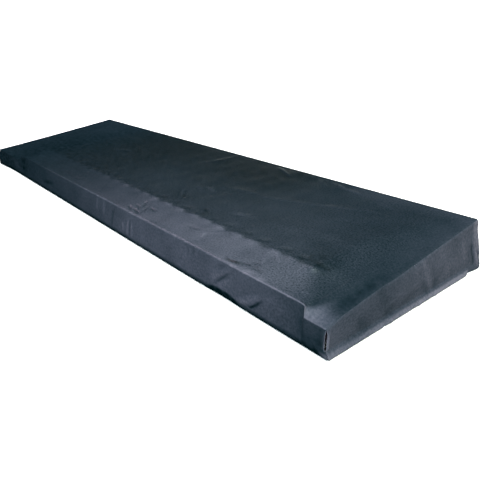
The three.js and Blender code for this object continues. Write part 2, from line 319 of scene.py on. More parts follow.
def softened(heights, places):
    """Each row drawn half way to the straight line between its neighbours."""
    before, after = np.diff(places)[:-1, None], np.diff(places)[1:, None]
    between = (heights[:-2] * after + heights[2:] * before) / (before + after)
    heights[1:-1] = (heights[1:-1] + between) / 2
    return heights


TIGHT = softened(softened(tight_heights(COLUMNS, BEHIND), BEHIND).T, COLUMNS).T
LOOSE = TIGHT.copy()
for _ in range(LOOSE_PASSES):
    LOOSE = softened(softened(LOOSE, BEHIND).T, COLUMNS).T
TIGHT += (LOOSE - TIGHT) * ramp(*LOOSE_FADE, COLUMNS)
print("top of the cloth from", TIGHT.min().round(1), "to", TIGHT.max().round(1), "mm")

# %% [markdown]
# ## Creases placed one by one
# No cover sits perfectly smooth. Each crease is one row of a table: where its middle is on its face,
# which way it heads in degrees, how long and wide it is, how high it stands and how far it bows. A
# trough has a negative height. A sculpt brush could do this too, but a table is easy to set beside
# the real cloth and to change. On the top the first two columns run right and back, and on an upright
# face along it and up.

# %% Creases of the band and the top
Crease = namedtuple("Crease", "along up heading length width height bow", defaults=(0,))

BAND_CREASES = [
    Crease(884, 6, 8, 24, 3, -0.9),
    Crease(880, 11, 10, 20, 4, 0.3),
    Crease(897, 13, 11, 18, 4, -0.7),
    Crease(906, 21, 8, 16, 4, -0.5),
    Crease(919, 13, -5, 18, 4, -0.7),
    Crease(905, 38, 121, 26, 4, 0.6),
    Crease(918, 47, -35, 23, 4, 0.6),
    Crease(811, 42, 37, 44, 4, 0.18),
    Crease(772, 30, 5, 26, 4, -0.5),
    Crease(796, 27, 128, 12, 4, 0.6),
    Crease(631, 9, -24, 17, 4, -1.0),
    Crease(650, 9, -14, 22, 4, -1.0),
    Crease(639, 19, -15, 18, 4, -0.65),
    Crease(640, 30, -46, 17, 4, -0.85),
    Crease(657, 21, -59, 17, 4, -0.85),
    Crease(670, 27, -9, 20, 4, -0.9),
    Crease(428, 16, 30, 16, 7, -0.6),
    Crease(380, 13, 5, 40, 8, -0.5),
]
TOP_CREASES = [
    Crease(647, 91, -40, 42, 6, -0.5),
    Crease(653, 93, -40, 36, 5, 0.4),
    Crease(659, 94, -40, 30, 5, -0.5),
    Crease(667, 86, 0, 12, 8, -0.6),
    Crease(742, 75, -28, 20, 6, -0.9),
    Crease(654, 128, -6, 22, 5, 0.6),
    Crease(677, 135, -17, 28, 5, 0.7),
    Crease(723, 165, 9, 72, 5, 0.6),
    Crease(792, 176, 20, 66, 6, 0.5),
    Crease(791, 100, 16, 34, 5, 0.6),
    Crease(871, 206, 22, 100, 7, 0.5),
    Crease(558, 252, 76, 74, 14, 0.4, 3),
    Crease(706, 274, -23, 52, 5, 1.2),
    Crease(794, 271, -36, 36, 6, 0.7),
    Crease(841, 276, -10, 62, 6, 0.8),
    Crease(924, 257, -10, 34, 6, 0.5),
    Crease(912, 227, 1, 40, 5, 0.3),
    Crease(705, 247, -17, 62, 7, 0.4),
    Crease(333, 160, 20, 66, 12, 0.4),
    Crease(283, 224, -2, 95, 12, 0.4),
    Crease(1025, 46, 88, 84, 14, -0.4, 2),
    Crease(1025, 86, 115, 30, 6, -0.25),
    Crease(1025, 93, -26, 18, 5, 0.4),
    Crease(1026, 103, 80, 24, 11, -0.15),
    Crease(1030, 146, 88, 60, 8, -0.25),
]
print("creases on the band", len(BAND_CREASES), "and on the rest of the top", len(TOP_CREASES))

# %% Creases of the front
FRONT_CREASES = [
    Crease(794, 38, 100, 22, 4, 0.35),
    Crease(799, 39, 92, 24, 4, -0.35),
    Crease(804, 40, 73, 22, 4, 0.35),
    Crease(812, 43, 72, 18, 7, -0.5),
    Crease(820, 44, 71, 16, 5, 0.5),
    Crease(639, 23, 80, 24, 5, 1.1),
    Crease(645, 23, 85, 24, 5, -0.9),
    Crease(650, 23, 90, 22, 5, 1.1),
    Crease(624, 20, 98, 16, 6, 0.9),
    Crease(534, 36, 82, 24, 6, 0.7),
    Crease(559, 33, 80, 26, 6, 0.8),
    Crease(588, 24, 74, 30, 7, -0.8),
    Crease(874, 43, 32, 26, 8, -0.5),
    Crease(868, 31, 36, 46, 10, 0.7),
    Crease(872, 27, 38, 34, 5, -0.9),
    Crease(875, 21, 34, 36, 9, 0.6),
    Crease(919, 17, 30, 54, 9, 1.0, -2),
    Crease(928, 12.5, 38, 42, 5, -0.9, 2),
    Crease(956, 33, 30, 18, 8, 0.3),
    Crease(971, 27, 40, 18, 8, 0.3),
    Crease(1001, 22, 97, 22, 8, -0.5),
    Crease(1027, 17, 90, 34, 9, -0.4),
    Crease(312, 21, 8, 50, 8, -0.8),
    Crease(127, 21, -22, 56, 9, 0.6),
]
print("creases on the front", len(FRONT_CREASES))

# %% Creases of the ends and the back
RIGHT_END_CREASES = [
    Crease(60, 16, -50, 30, 15, -0.5),
    Crease(97, 32, -58, 62, 15, -0.4, 3),
    Crease(112, 18, 24, 34, 10, -0.3),
    Crease(118, 26, 24, 32, 9, 0.25),
    Crease(150, 17, 14, 46, 12, -0.5),
    Crease(182, 17, -47, 34, 11, -0.6),
    Crease(181, 35, -58, 58, 9, 0.5),
    Crease(168, 52, -50, 20, 8, 0.4),
    Crease(156, 49, -50, 15, 8, 0.4),
    Crease(202, 24, -63, 46, 12, -0.5),
    Crease(209, 20, 53, 28, 10, -0.4),
    Crease(245, 17, -60, 22, 9, -0.5),
    Crease(228, 33, -50, 52, 13, 0.5),
    Crease(270, 40, -62, 44, 8, 0.5),
    Crease(297, 27, -63, 36, 5, -1.9),
    Crease(304, 21, -60, 34, 7, 2.2),
    Crease(310, 24, -48, 26, 3.5, -0.9),
]
RIGHT_HEM_CREASES = [
    Crease(110, 3, 60, 12, 4, 0.7),
    Crease(168, 3, 60, 14, 5, 0.7),
    Crease(205, 3, 60, 14, 5, 0.6),
    Crease(97, 2, 70, 10, 4, -0.8),
]
LEFT_END_CREASES = [
    Crease(110, 30, 70, 44, 16, 0.9),
    Crease(205, 34, 65, 48, 18, -0.8),
    Crease(262, 40, 72, 44, 14, 0.7),
]
BACK_CREASES = [
    Crease(150, 44, 76, 52, 18, 0.9),
    Crease(215, 38, 70, 48, 16, -0.7),
    Crease(420, 40, 84, 50, 16, 0.7),
    Crease(560, 46, 98, 52, 18, 1.0),
    Crease(610, 36, 74, 44, 16, -0.7),
    Crease(790, 42, 80, 50, 18, 0.8),
    Crease(905, 38, 102, 48, 16, 0.9),
    Crease(960, 30, 110, 44, 14, -0.8),
]
END_CREASES = {RIGHT: RIGHT_END_CREASES, LEFT: LEFT_END_CREASES}
HEM_CREASES = {RIGHT: RIGHT_HEM_CREASES, LEFT: []}
print("creases on the ends", sum(map(len, END_CREASES.values())), "and on the back", len(BACK_CREASES))

# %% [markdown]
# ## Painted light and shade without relief
# Some marks are painted light and shade with no fold under them: painted highlights on pale streaks
# and along the front edge, and painted shadows in slits and hollows. They are written like creases,
# so that one function reads both, and they only change how pale the cloth is.

# %% Painted light and shade of the top and the front
TOP_PAINTED_SHADING = [
    Crease(706, 274, -23, 46, 4, 1.2),
    Crease(962, 76, 0, 44, 32, -0.6),
    Crease(895, 290, 0, 96, 56, 0.7),
    Crease(985, 296, 0, 120, 44, 0.7),
    Crease(881, 8, 10, 24, 3, -2.6),
    Crease(886, 3.2, 4, 28, 3.8, 1.8),
    Crease(912, 4, 6, 18, 3.8, 1.7),
    Crease(936, 3.6, 6, 14, 3.8, 1.7),
    Crease(905, 15, 8, 30, 3, -0.6),
    Crease(1002, 15, 88, 18, 7, -0.45),
    Crease(987.5, 17.5, 22, 10, 2.5, 1.0, 1),
]
FRONT_PAINTED_SHADING = [
    Crease(170, 30, 102, 44, 24, -0.6),
    Crease(118, 24, 100, 36, 34, 0.4),
    Crease(928, 12.5, 38, 42, 2.8, -1.2, 2),
    Crease(870, 25, 38, 30, 3, -0.5),
]
print("shades", len(TOP_PAINTED_SHADING) + len(FRONT_PAINTED_SHADING))

# %% [markdown]
# ## From tables to heights
# Across its width a crease is a bell, and along its length it stays level and then ends quickly. The
# bars' tips press small patches into the band, all alike but not equally strong, so those creases
# are drawn from one patch and one hollow in a loop, with a fixed seed.

# %% Height of the creases
def crease_height(creases, along, up):
    height = np.zeros(np.broadcast(along, up).shape)
    for crease in creases:
        heading = math.radians(crease.heading)
        east, north = along - crease.along, up - crease.up
        lengthwise = (east * math.cos(heading) + north * math.sin(heading)) / (crease.length / 2)
        sideways = north * math.cos(heading) - east * math.sin(heading) - crease.bow * lengthwise**2
        crosswise = sideways / (crease.width / 2)
        height += crease.height * np.exp(-np.clip(lengthwise**4 + crosswise**2, 0, 60))
    return height


highest = crease_height(TOP_CREASES, COLUMNS, BEHIND[:, None]).max()
print("highest crease on the top", highest.round(2), "mm")

# %% Patches on the bars' tips
TIP_DRAW = 17
TIP_PATCH = Crease(4, -3, 25, 15, 12, 0.25)
TIP_HOLLOW = Crease(9, 10, 12, 17, 10, -0.65)
TIP_STRENGTHS = (0.6, 1.1)
TIP_FAINTEST = 0.1
TIP_FADE = (450, 720)
LAST_TIP = 0.9


def tip_creases():
    """A drawn patch on each bar's tip and a hollow behind it, in uneven strengths."""
    strengths = np.random.default_rng(TIP_DRAW).uniform(*TIP_STRENGTHS, len(BAR_CENTRES))
    strengths *= TIP_FAINTEST + (1 - TIP_FAINTEST) * ramp(*TIP_FADE, BAR_CENTRES)
    strengths[-1] = LAST_TIP
    return [
        patch._replace(along=bar + patch.along, up=BAR_TIP + patch.up, height=patch.height * strength)
        for bar, strength in zip(BAR_CENTRES, strengths) for patch in (TIP_PATCH, TIP_HOLLOW)
    ]


TOP_CREASES += BAND_CREASES + tip_creases()
print("creases on the top with the bars' tips", len(TOP_CREASES))

# %% [markdown]
# ## Soft waves
# Between the creases real knit is never quite flat. A few long weak waves in all directions make
# light slide over it unevenly. Their draws have fixed seeds, so that each run gives the same waves.

# %% Soft waves
WAVE_LENGTHS = (24, 95)
WAVE_COUNT = 14
WAVE_HEIGHT = 0.05


def soft_waves(along, up, seed, calm=1):
    draw = np.random.default_rng(seed)
    height = np.zeros(np.broadcast(along, up).shape)
    for _ in range(WAVE_COUNT):
        heading = draw.uniform(0, 2 * math.pi)
        length = draw.uniform(*WAVE_LENGTHS)
        phase = draw.uniform(0, 2 * math.pi)
        across = along * math.cos(heading) + up * math.sin(heading)
        height += WAVE_HEIGHT * np.sin(2 * math.pi * across / length + phase)
    return height * calm


print("waves up to", round(WAVE_COUNT * WAVE_HEIGHT, 2), "mm high")

# %% [markdown]
# ## The section of the wrap panel
# The section is worked out for all columns at once: front lip, folded hem, hem band, front face,
# rolled front edge, top, rolled rear edge, back, and the rear hem. The hem is double cloth, so it
# stands out a little and puckers. The rolled edges are short curves between the last row of one face
# and the first row of the next.

# %% Hem and upright faces
HEM_LEDGE = 0.5
LEDGE_RISE = 4
PUCKER_PITCH = 15.0
PUCKER_HEIGHT = 0.3
PUCKER_REACH = 6.0
PUCKER_WANDER = 1.4
WANDER_REACH = 31
PUCKER_EVENNESS = 0.6
UNEVEN_REACH = 57
FADE_RISE = 6


def hem_inset(rows):
    return HEM_FOLD_RADIUS * (1 - np.cos(np.radians(rows.turn))) + rows.lip


def hem_rise(rows):
    return HEM_FOLD_RADIUS * (1 - np.sin(np.radians(rows.turn)))


def face_height(edge_height, rows):
    above_hem = (edge_height - HEM_BAND) * (1 - rows.drop[:, None])
    on_hem = ((HEM_BAND - HEM_FOLD_RADIUS) * (1 - rows.band) + hem_rise(rows))[:, None]
    return above_hem + on_hem


def hem_swell(rows, along, z, seed):
    """How far the hem's double cloth and its puckers stand out of a face."""
    ledge = HEM_LEDGE * np.minimum(rows.band * LEDGE_RISE, 1)[:, None]
    jitter = np.random.default_rng(seed).uniform(0, 2 * math.pi, 3)
    wander = PUCKER_WANDER * np.sin(along / WANDER_REACH + jitter[1])
    pull = np.sin(2 * math.pi * along / PUCKER_PITCH + jitter[0] + wander)
    uneven = (1 - PUCKER_EVENNESS) * np.sin(along / UNEVEN_REACH + jitter[2])
    pull = pull * (PUCKER_EVENNESS + uneven)
    return ledge + PUCKER_HEIGHT * pull * bell(z - HEM_BAND, PUCKER_REACH)


def face_fade(rows):
    """Full on a face, fading at its upper edge and gone on the hem."""
    return (rows.band == 0)[:, None] * np.minimum(rows.drop * FADE_RISE, 1)[:, None]


print("hem turns in by", hem_inset(FACE).max(), "mm")

# %% Front, back and top
FRONT_TUCK = 1.0
LEFT_BELLY = 4.5
BELLY_SPAN = 80
TUCK_PLACE = 872
TUCK_SPAN = 32
TUCK_DEPTH = 1.2
TUCK_START = 0.85
TUCK_ABOVE_HEM = 0.25
EDGE_CALM = 8
CALM_FADE = (300, 700)
CALM_LEAST = 0.3


def front_face(x):
    z = face_height(front_edge_height(x), FACE)
    out = crease_height(FRONT_CREASES, x, z) + soft_waves(x, z, seed=3)
    out = out * face_fade(FACE) + hem_swell(FACE, x[None, :], z, seed=5)
    y = front_edge_y(x) * (1 - FACE.drop)[:, None]
    y = y + (hem_inset(FACE) + FRONT_TUCK * FACE.band)[:, None]
    out = out + LEFT_BELLY * ramp(BELLY_SPAN, 0, x) * ramp(0, 1, FACE.drop)[:, None]
    tuck = TUCK_DEPTH * bell(x - TUCK_PLACE, TUCK_SPAN)
    tucked_in = ramp(TUCK_START, 1, FACE.drop) * (TUCK_ABOVE_HEM + (1 - TUCK_ABOVE_HEM) * FACE.band)
    return y - out + tuck * tucked_in[:, None], z


def back_face(x):
    z = face_height(np.full(len(x), REAR_HEIGHT), FACE)
    out = crease_height(BACK_CREASES, x, z) + soft_waves(x, z, seed=9)
    out = out * face_fade(FACE) + hem_swell(FACE, x[None, :], z, seed=11)
    y = (DEPTH + REAR_LEAN * FACE.drop - hem_inset(FACE))[:, None]
    return y + out, z


def top_face(x):
    behind = BEHIND[:, None]
    fade = ramp(0, EDGE_CALM, behind) * ramp(0, EDGE_CALM, DEPTH - behind)
    calm = CALM_LEAST + (1 - CALM_LEAST) * ramp(*CALM_FADE, x)
    rough = crease_height(TOP_CREASES, x, behind) + soft_waves(x, behind, seed=1, calm=calm)
    return behind + front_edge_y(x) * (1 - behind / DEPTH), TIGHT + rough * fade


front_points, top_points, back_points = (face(COLUMNS) for face in (front_face, top_face, back_face))
reach_front, reach_back = front_points[0].min(), back_points[0].max()
print("faces reach from", reach_front.round(1), "to", reach_back.round(1), "mm")

# %% Whole section
def rolled_edge(below, sharp, above):
    """A short curve between two faces, drawn towards the sharp edge where they would meet."""
    t = EDGE_TURNS[:, None]
    return (1 - t) ** 2 * below + 2 * t * (1 - t) * sharp + t**2 * above


FRONT_CORNER = (front_edge_y(COLUMNS), front_edge_height(COLUMNS))
REAR_CORNER = (DEPTH, REAR_HEIGHT)
section_y, section_z = (
    np.concatenate([
        front[::-1],
        rolled_edge(front[0], front_corner, top[1]),
        top[1:-1],
        rolled_edge(top[-2], rear_corner, back[0]),
        back,
    ])
    for front, front_corner, top, rear_corner, back in zip(
        front_points, FRONT_CORNER, top_points, REAR_CORNER, back_points)
)
print("section rows", len(section_y), "grid", section_y.shape)

# %% [markdown]
# ## Seams
# At each end the wrap panel rolls over into the seam, and the end panel rolls up to meet it. Both
# start from one seam line and lie a hair apart along it. The upright corner seams are drawn in
# between two soft ridges, and the front right one gapes a little. One value for each row of the
# section says how strongly the row takes part, so a seam can change on its way round the end.

# %% Rows of the whole section and how they meet the ends
FACE_COUNT = len(FACE.drop)
EDGE_COUNT = len(EDGE_TURNS)
TOP_COUNT = len(BEHIND) - 2
FRONT_EDGE = FACE_COUNT + EDGE_COUNT // 2
TOP_START = FACE_COUNT + EDGE_COUNT
REAR_EDGE = TOP_START + TOP_COUNT + EDGE_COUNT // 2
BACK_START = TOP_START + TOP_COUNT + EDGE_COUNT


def per_row(values):
    """A face's values on the front and the back, and 0 in all the rows between them."""
    return np.concatenate([values[::-1], np.zeros(2 * EDGE_COUNT + TOP_COUNT), values])


ROW_DROP = per_row(FACE.drop)
ROW_BAND = per_row(FACE.band)
ROW_FLARE = np.where(np.arange(BACK_START + FACE_COUNT) < BACK_START, HEM_FLARE, REAR_FLARE)
ROW_REACH = ROW_FLARE * ROW_BAND - per_row(hem_inset(FACE))
IS_FRONT = np.arange(len(ROW_DROP)) < FRONT_EDGE


def inward_rows():
    """The way into the cover in each row of the section, in y and z."""
    angles = np.concatenate([
        np.zeros(FACE_COUNT), -90 * EDGE_TURNS, np.full(TOP_COUNT, -90.0),
        -90 - 90 * EDGE_TURNS, np.full(FACE_COUNT, -180.0),
    ])
    return np.stack([np.cos(np.radians(angles)), np.sin(np.radians(angles))], axis=1)


INWARD = inward_rows()
print("rows of the section", len(INWARD), "with edges in rows", FRONT_EDGE, "and", REAR_EDGE)

# %% Corner seams
SEAM_LINE = SEAM_ROLL / 4
CornerSeam = namedtuple("CornerSeam", "pinch ridge gap")
CORNER_SEAMS = {
    (RIGHT, "front"): CornerSeam(pinch=1.5, ridge=0.8, gap=2.6),
    (RIGHT, "rear"): CornerSeam(pinch=1.0, ridge=0.4, gap=0.4),
    (LEFT, "front"): CornerSeam(pinch=0.2, ridge=2.2, gap=0.5),
    (LEFT, "rear"): CornerSeam(pinch=1.2, ridge=0.5, gap=0.4),
}
TOP_SEAM = CornerSeam(pinch=0.35, ridge=0.1, gap=0.3)
PINCH_WIDTH = 1.5
RIDGE_PLACE = 4.2
RIDGE_WIDTH = 2.6
UPRIGHT_RISE = (0.09, 0.38)
UPRIGHT_FALL = 0.05


def upright_share(rows_drop, rows_band):
    """Full along an upright corner seam, fading at its top and at the hem."""
    rise, fall = ramp(*UPRIGHT_RISE, rows_drop), ramp(0, UPRIGHT_FALL, 1 - rows_drop)
    return rise * fall * (rows_band == 0)


def seam_rows(side, field):
    """One property of an end's seam in each row, from the top seam into the corner seams."""
    upright = upright_share(ROW_DROP, ROW_BAND)
    of_front = getattr(CORNER_SEAMS[side, "front"], field)
    of_rear = getattr(CORNER_SEAMS[side, "rear"], field)
    corner = np.where(IS_FRONT, of_front, of_rear)
    return getattr(TOP_SEAM, field) * (1 - upright) + corner * upright


def roll_inset(distance):
    """How far the cloth has rolled in at a distance from the end's plane."""
    return SEAM_ROLL * (1 - np.sqrt(np.clip(distance / SEAM_ROLL, 0, 1))) ** 2


def seam_groove(distance):
    return bell(distance - SEAM_LINE, PINCH_WIDTH)


def seam_ridge(distance):
    return bell(distance - RIDGE_PLACE, RIDGE_WIDTH)


def seam_relief(side, distance):
    """How far the cloth stands out near a seam, by row and by distance from the end's plane."""
    ridge = np.outer(seam_rows(side, "ridge"), seam_ridge(distance))
    return ridge - np.outer(seam_rows(side, "pinch"), seam_groove(distance))


print("seam gaps", sorted({seam.gap for seam in CORNER_SEAMS.values()} | {TOP_SEAM.gap}), "mm")

# %% [markdown]
# ## The rear right corner
# At the rear right corner the cloth stands out towards the hem, and a small fold hangs beside the
# seam. The push fades along both panels, so that it needs no extra piece.

# %% Push of the rear right corner
CORNER_PUSH = 3.4
PUSH_ALONG_END = 36.0
PUSH_ALONG_BACK = 45.0
PUSH_DROP = (0.1, 0.95)


def push_share(rows_drop):
    return ramp(*PUSH_DROP, rows_drop)


print("push at half the drop", round(CORNER_PUSH * float(push_share(0.5)), 2), "mm")

# %% [markdown]
# ## The grid of the wrap panel
# Near the ends the columns fan out to the flared hem, the section rolls in towards the seam, and the
# seam's own groove and ridges are added. The last column on each side is the seam itself. It is then
# parted by the seam's gap, and the end panel's edge takes its points from there.

# %% Wrap panel grid
FLARE_ZONE = 60
OPEN_REACH = 7.0
SEAM_LEAN = 0.5
LEAN_REACH = SEAM_ROLL * 1.2


def from_end(side):
    return COLUMNS if side == LEFT else LENGTH - COLUMNS


def flare_share(distance):
    return np.clip((FLARE_ZONE - distance) / (FLARE_ZONE - SEAM_ROLL), 0, 1)


def wrap_grid():
    x = np.broadcast_to(COLUMNS, section_y.shape).copy()
    y, z = section_y.copy(), section_z.copy()
    is_back = (np.arange(len(ROW_DROP)) > REAR_EDGE)[:, None]
    push = CORNER_PUSH * ramp(PUSH_ALONG_BACK, 0, from_end(RIGHT))
    x += push * push_share(ROW_DROP)[:, None] * is_back
    for side in (LEFT, RIGHT):
        distance = from_end(side)
        x += side * flare_share(distance)[None, :] * ROW_REACH[:, None]
        inset = roll_inset(distance)[None, :] - seam_relief(side, distance)
        lean = SEAM_LEAN * ramp(LEAN_REACH, SEAM_LINE, distance)[None, :]
        y += INWARD[:, :1] * inset
        z += INWARD[:, 1:] * inset
        x += side * lean * seam_relief(side, distance)
    return np.stack([x, y, z], axis=2)


wrap_points = wrap_grid()


def seam_ways(side):
    """For each row, the way across the seam towards the end panel and the way out of the cloth."""
    outward = np.full(len(INWARD), float(side))
    across = np.column_stack([outward, INWARD]) / math.sqrt(2)
    out = np.column_stack([outward, -INWARD]) / math.sqrt(2)
    return across, out


def open_share(distance):
    return ramp(OPEN_REACH, SEAM_LINE, distance)


def part_seam(side):
    """Opens the seam by its gap and returns the end panel's edge points and the way out there."""
    column = 0 if side == LEFT else -1
    across, out = seam_ways(side)
    half = seam_rows(side, "gap")[:, None] / 2
    line = wrap_points[:, column].copy()
    opened = open_share(from_end(side))
    wrap_points[:] -= across[:, None, :] * (half * opened[None, :])[:, :, None]
    return line + across * half, out


SEAMS = {side: part_seam(side) for side in (LEFT, RIGHT)}
low, high = wrap_points.min(axis=(0, 1)), wrap_points.max(axis=(0, 1))
print("wrap panel reaches from", low.round(1), "to", high.round(1))

# %% [markdown]
# ## The grid of an end panel
# An end panel is a wedge. Its columns carry on from the rows of the top, and its rows from the rows
# of the upright faces, so each point of its edge faces the same point of the wrap panel's edge. It
# bulges between its seams, creases, and ends in the flared hem. Its points stand twice as close as
# the wrap panel's, because a flat face shows each small fold.

# %% Borders and rows of an end panel
def with_midpoints(values):
    fine = np.repeat(values, 2, axis=0)[:-1]
    fine[1::2] = (values[:-1] + values[1:]) / 2
    return fine


def end_borders(values):
    """The top, front and rear borders of an end panel, from values along its seam."""
    top = with_midpoints(values[FRONT_EDGE:REAR_EDGE + 1])
    return top, with_midpoints(values[FRONT_EDGE::-1])[1:], with_midpoints(values[REAR_EDGE:])[1:]


def end_rows(values):
    """A face's values for the rows of an end panel, which begin on the rolled edge."""
    return with_midpoints(np.concatenate([np.zeros(EDGE_COUNT // 2 + 1), values]))


END_ROWS = FaceRows(*(end_rows(values)[1:] for values in FACE))


def end_heights(edge_z, below):
    """Heights of the rows of an end panel, on the rolled edge and down the face."""
    rolled = edge_z - (END_FRONT_HEIGHT - below)[:, None]
    return with_midpoints(np.concatenate([edge_z[None, :], rolled, face_height(edge_z, FACE)]))[1:]


print("rows of an end panel", len(END_ROWS.drop))

# %% End panel grids
END_BULGE = {RIGHT: 1.2, LEFT: 1.5}
FLARE_FALL = (28, 40)
HEM_CREASE_RISE = 3


def end_flare(y):
    return REAR_FLARE + (HEM_FLARE - REAR_FLARE) * ramp(*FLARE_FALL, DEPTH + REAR_LEAN - y)


def corner_opening(side, face, rows):
    half = CORNER_SEAMS[side, face].gap / 2
    return (upright_share(rows.drop, rows.band) * half / math.sqrt(2))[:, None]


def seam_bumps(side, from_front, from_rear, rows):
    upright = upright_share(rows.drop, rows.band)[:, None]
    bumps = np.zeros(np.broadcast(from_front, upright).shape)
    for face, distance in (("front", from_front), ("rear", from_rear)):
        seam = CORNER_SEAMS[side, face]
        bumps += upright * (seam.ridge * seam_ridge(distance) - seam.pinch * seam_groove(distance))
    return bumps


def end_relief(side, y, z):
    """How far creases, waves and the hem stand out of an end panel."""
    face = crease_height(END_CREASES[side], y, z) + soft_waves(y, z, seed=20 + side)
    hem_rows = np.minimum(END_ROWS.band * HEM_CREASE_RISE, 1)[:, None]
    hem = crease_height(HEM_CREASES[side], y, z) * hem_rows
    return face * face_fade(END_ROWS) + hem + hem_swell(END_ROWS, y, z, seed=30 + side)


def end_reach(side, y, from_rear):
    """How far the flared hem and the pushed corner stand out, and the lip in."""
    reach = end_flare(y) * END_ROWS.band[:, None] - hem_inset(END_ROWS)[:, None]
    if side == RIGHT:
        push = CORNER_PUSH * ramp(PUSH_ALONG_END, 0, from_rear)
        reach = reach + push * push_share(END_ROWS.drop)[:, None]
    return reach


def end_grid(side):
    top_edge, front_side, rear_side = end_borders(SEAMS[side][0])
    y_share = (top_edge[1:-1, 1] / DEPTH)[None, :]
    edge_z = end_height(side, np.clip(top_edge[1:-1, 1], 0, DEPTH))
    z = end_heights(edge_z, front_side[1:EDGE_COUNT:2, 2])
    inset = hem_inset(END_ROWS)[:, None]
    rear_y = DEPTH + REAR_LEAN * END_ROWS.drop[:, None] - inset
    y = inset + (rear_y - inset) * y_share
    from_top = np.clip(edge_z - z, 0, None)
    from_front, from_rear = y - inset, rear_y - y
    rounded = roll_inset(from_front) + roll_inset(from_rear)
    rounded = rounded + roll_inset(from_top) * (END_ROWS.turn == 0)[:, None]
    bulge = END_BULGE[side] * np.sin(math.pi * y_share) * np.sin(math.pi * END_ROWS.drop)[:, None]
    front_gap = corner_opening(side, "front", END_ROWS) * open_share(from_front)
    rear_gap = corner_opening(side, "rear", END_ROWS) * open_share(from_rear)
    out = end_reach(side, y, from_rear) + bulge + end_relief(side, y, z)
    out = out + seam_bumps(side, from_front, from_rear, END_ROWS) + front_gap + rear_gap - rounded
    x = LENGTH + out if side == RIGHT else -out
    middle = np.stack([x, y + front_gap - rear_gap, z], axis=2)
    below = np.concatenate([front_side[:, None], middle, rear_side[:, None]], axis=1)
    return np.concatenate([top_edge[None], below])


end_points = {side: end_grid(side) for side in (RIGHT, LEFT)}
print("end panel grids", [grid.shape for grid in end_points.values()])

# %% [markdown]
# ## Stretch and painted light
# Dark stretch knit looks paler where it is drawn tight, because its loops open. Each point gets a
# share from 0 to 1, kept as an attribute that the material reads as tone. The share carries stretch
# and also painted light and shade: painted sheen, highlights, shade and shadows. It could be
# painted by hand. A short table is easier to change: the tone of the top, its rear half, the band
# behind the rail, the front face and the front edge, at a few places along the length.

# %% Stretch and painted light along the length
Knot = namedtuple("Knot", "x top rear band front edge")
# knot tones: the band's is partly a painted sheen, the edge's a painted highlight, and their changes
# along the length partly paint how the light falls
TONE_AND_LIGHT_KNOTS = [
    Knot(0, 0.12, 0.13, 0.04, 0.06, 0.06),
    Knot(120, 0.09, 0.15, 0.12, 0.095, 0.10),
    Knot(200, 0.08, 0.115, 0.12, 0.115, 0.13),
    Knot(300, 0.068, 0.045, 0.115, 0.17, 0.20),
    Knot(420, 0.065, 0.02, 0.15, 0.21, 0.30),
    Knot(540, 0.13, 0.05, 0.22, 0.30, 0.60),
    Knot(660, 0.14, 0.02, 0.34, 0.42, 0.72),
    Knot(730, 0.155, 0.03, 0.39, 0.42, 0.68),
    Knot(800, 0.185, 0.13, 0.44, 0.43, 0.64),
    Knot(860, 0.195, 0.16, 0.43, 0.42, 0.70),
    Knot(900, 0.205, 0.17, 0.41, 0.40, 1.05),
    Knot(960, 0.175, 0.165, 0.38, 0.33, 1.05),
    Knot(1003, 0.19, 0.20, 0.33, 0.22, 1.0),
    Knot(LENGTH, 0.225, 0.265, 0.21, 0.21, 0.65),
]


def along_wrap(field):
    places = [knot.x for knot in TONE_AND_LIGHT_KNOTS]
    return np.interp(COLUMNS, places, [getattr(knot, field) for knot in TONE_AND_LIGHT_KNOTS])[None, :]


print("knots along the length", len(TONE_AND_LIGHT_KNOTS))

# %% [markdown]
# ## Places of the band and of painted light and shade
# Smaller places are worked out from the shape, each as a share from 0 to 1. The band behind the rail
# ends in teeth between the bars' tips. A strip beside the right seam gets painted shade, the front hem
# gets a painted shadow where it turns under at one place, and the front edge has a painted highlight,
# a pale bead, wherever it crosses a gap along the rail.

# %% Places of the band and of painted light and shade
TOOTH_DIP = 0.3
TOOTH_DIP_MOST = 7.0
BAND_BLUR = 2.5
BAND_LEFT = (RAIL_LEFT - 5, RAIL_LEFT + 60)
BAND_RIGHT = (1005, 966)
BAND_FADE = 17
SHADED_STRIP_WIDTH = 26
SHADED_STRIP_START = (12, 28)
SHADED_STRIP_END = (125, 95)
TUCK_SHADOW_HEIGHT = 11.0
TUCK_SHADOW_BLUR = 2
BEAD_PLACE = 2.0
BEAD_WIDTH = 3.0
BEAD_COUNT = 37
BEAD_DRAW = 4
BEAD_FAINTEST = 0.1
RIM_RISE = 0.12


def band_share():
    """Full on the band between the rail and the bars' tips, with a toothed rear edge."""
    rear = BAR_TIP - np.clip(TOOTH_DIP * (to_nearest_bar(COLUMNS) - BAR_WIDTH / 2), 0, TOOTH_DIP_MOST)
    right = np.interp(BEHIND, (0, BAR_TIP), BAND_RIGHT)[:, None]
    within = ramp(rear + BAND_BLUR, rear - BAND_BLUR, BEHIND[:, None]) * ramp(*BAND_LEFT, COLUMNS)
    return within * ramp(right + BAND_FADE, right - BAND_FADE, COLUMNS)


def shaded_seam_strip():
    """The strip of the top beside the right seam, which gets painted shade and less sheen."""
    near = ramp(SHADED_STRIP_WIDTH, SHADED_STRIP_WIDTH / 3, from_end(RIGHT))
    return near * ramp(*SHADED_STRIP_START, BEHIND)[:, None] * ramp(*SHADED_STRIP_END, BEHIND)[:, None]


def tucked_hem_shadow():
    """Full on the part of the front hem that turns under, above and on the band, where a painted shadow
    goes.
    """
    height = TUCK_SHADOW_HEIGHT * np.exp(-(((COLUMNS - TUCK_PLACE) / TUCK_SPAN) ** 4))
    z = face_height(front_edge_height(COLUMNS), FACE)
    return ramp(height + TUCK_SHADOW_BLUR, height - TUCK_SHADOW_BLUR, z) * (height > 1)


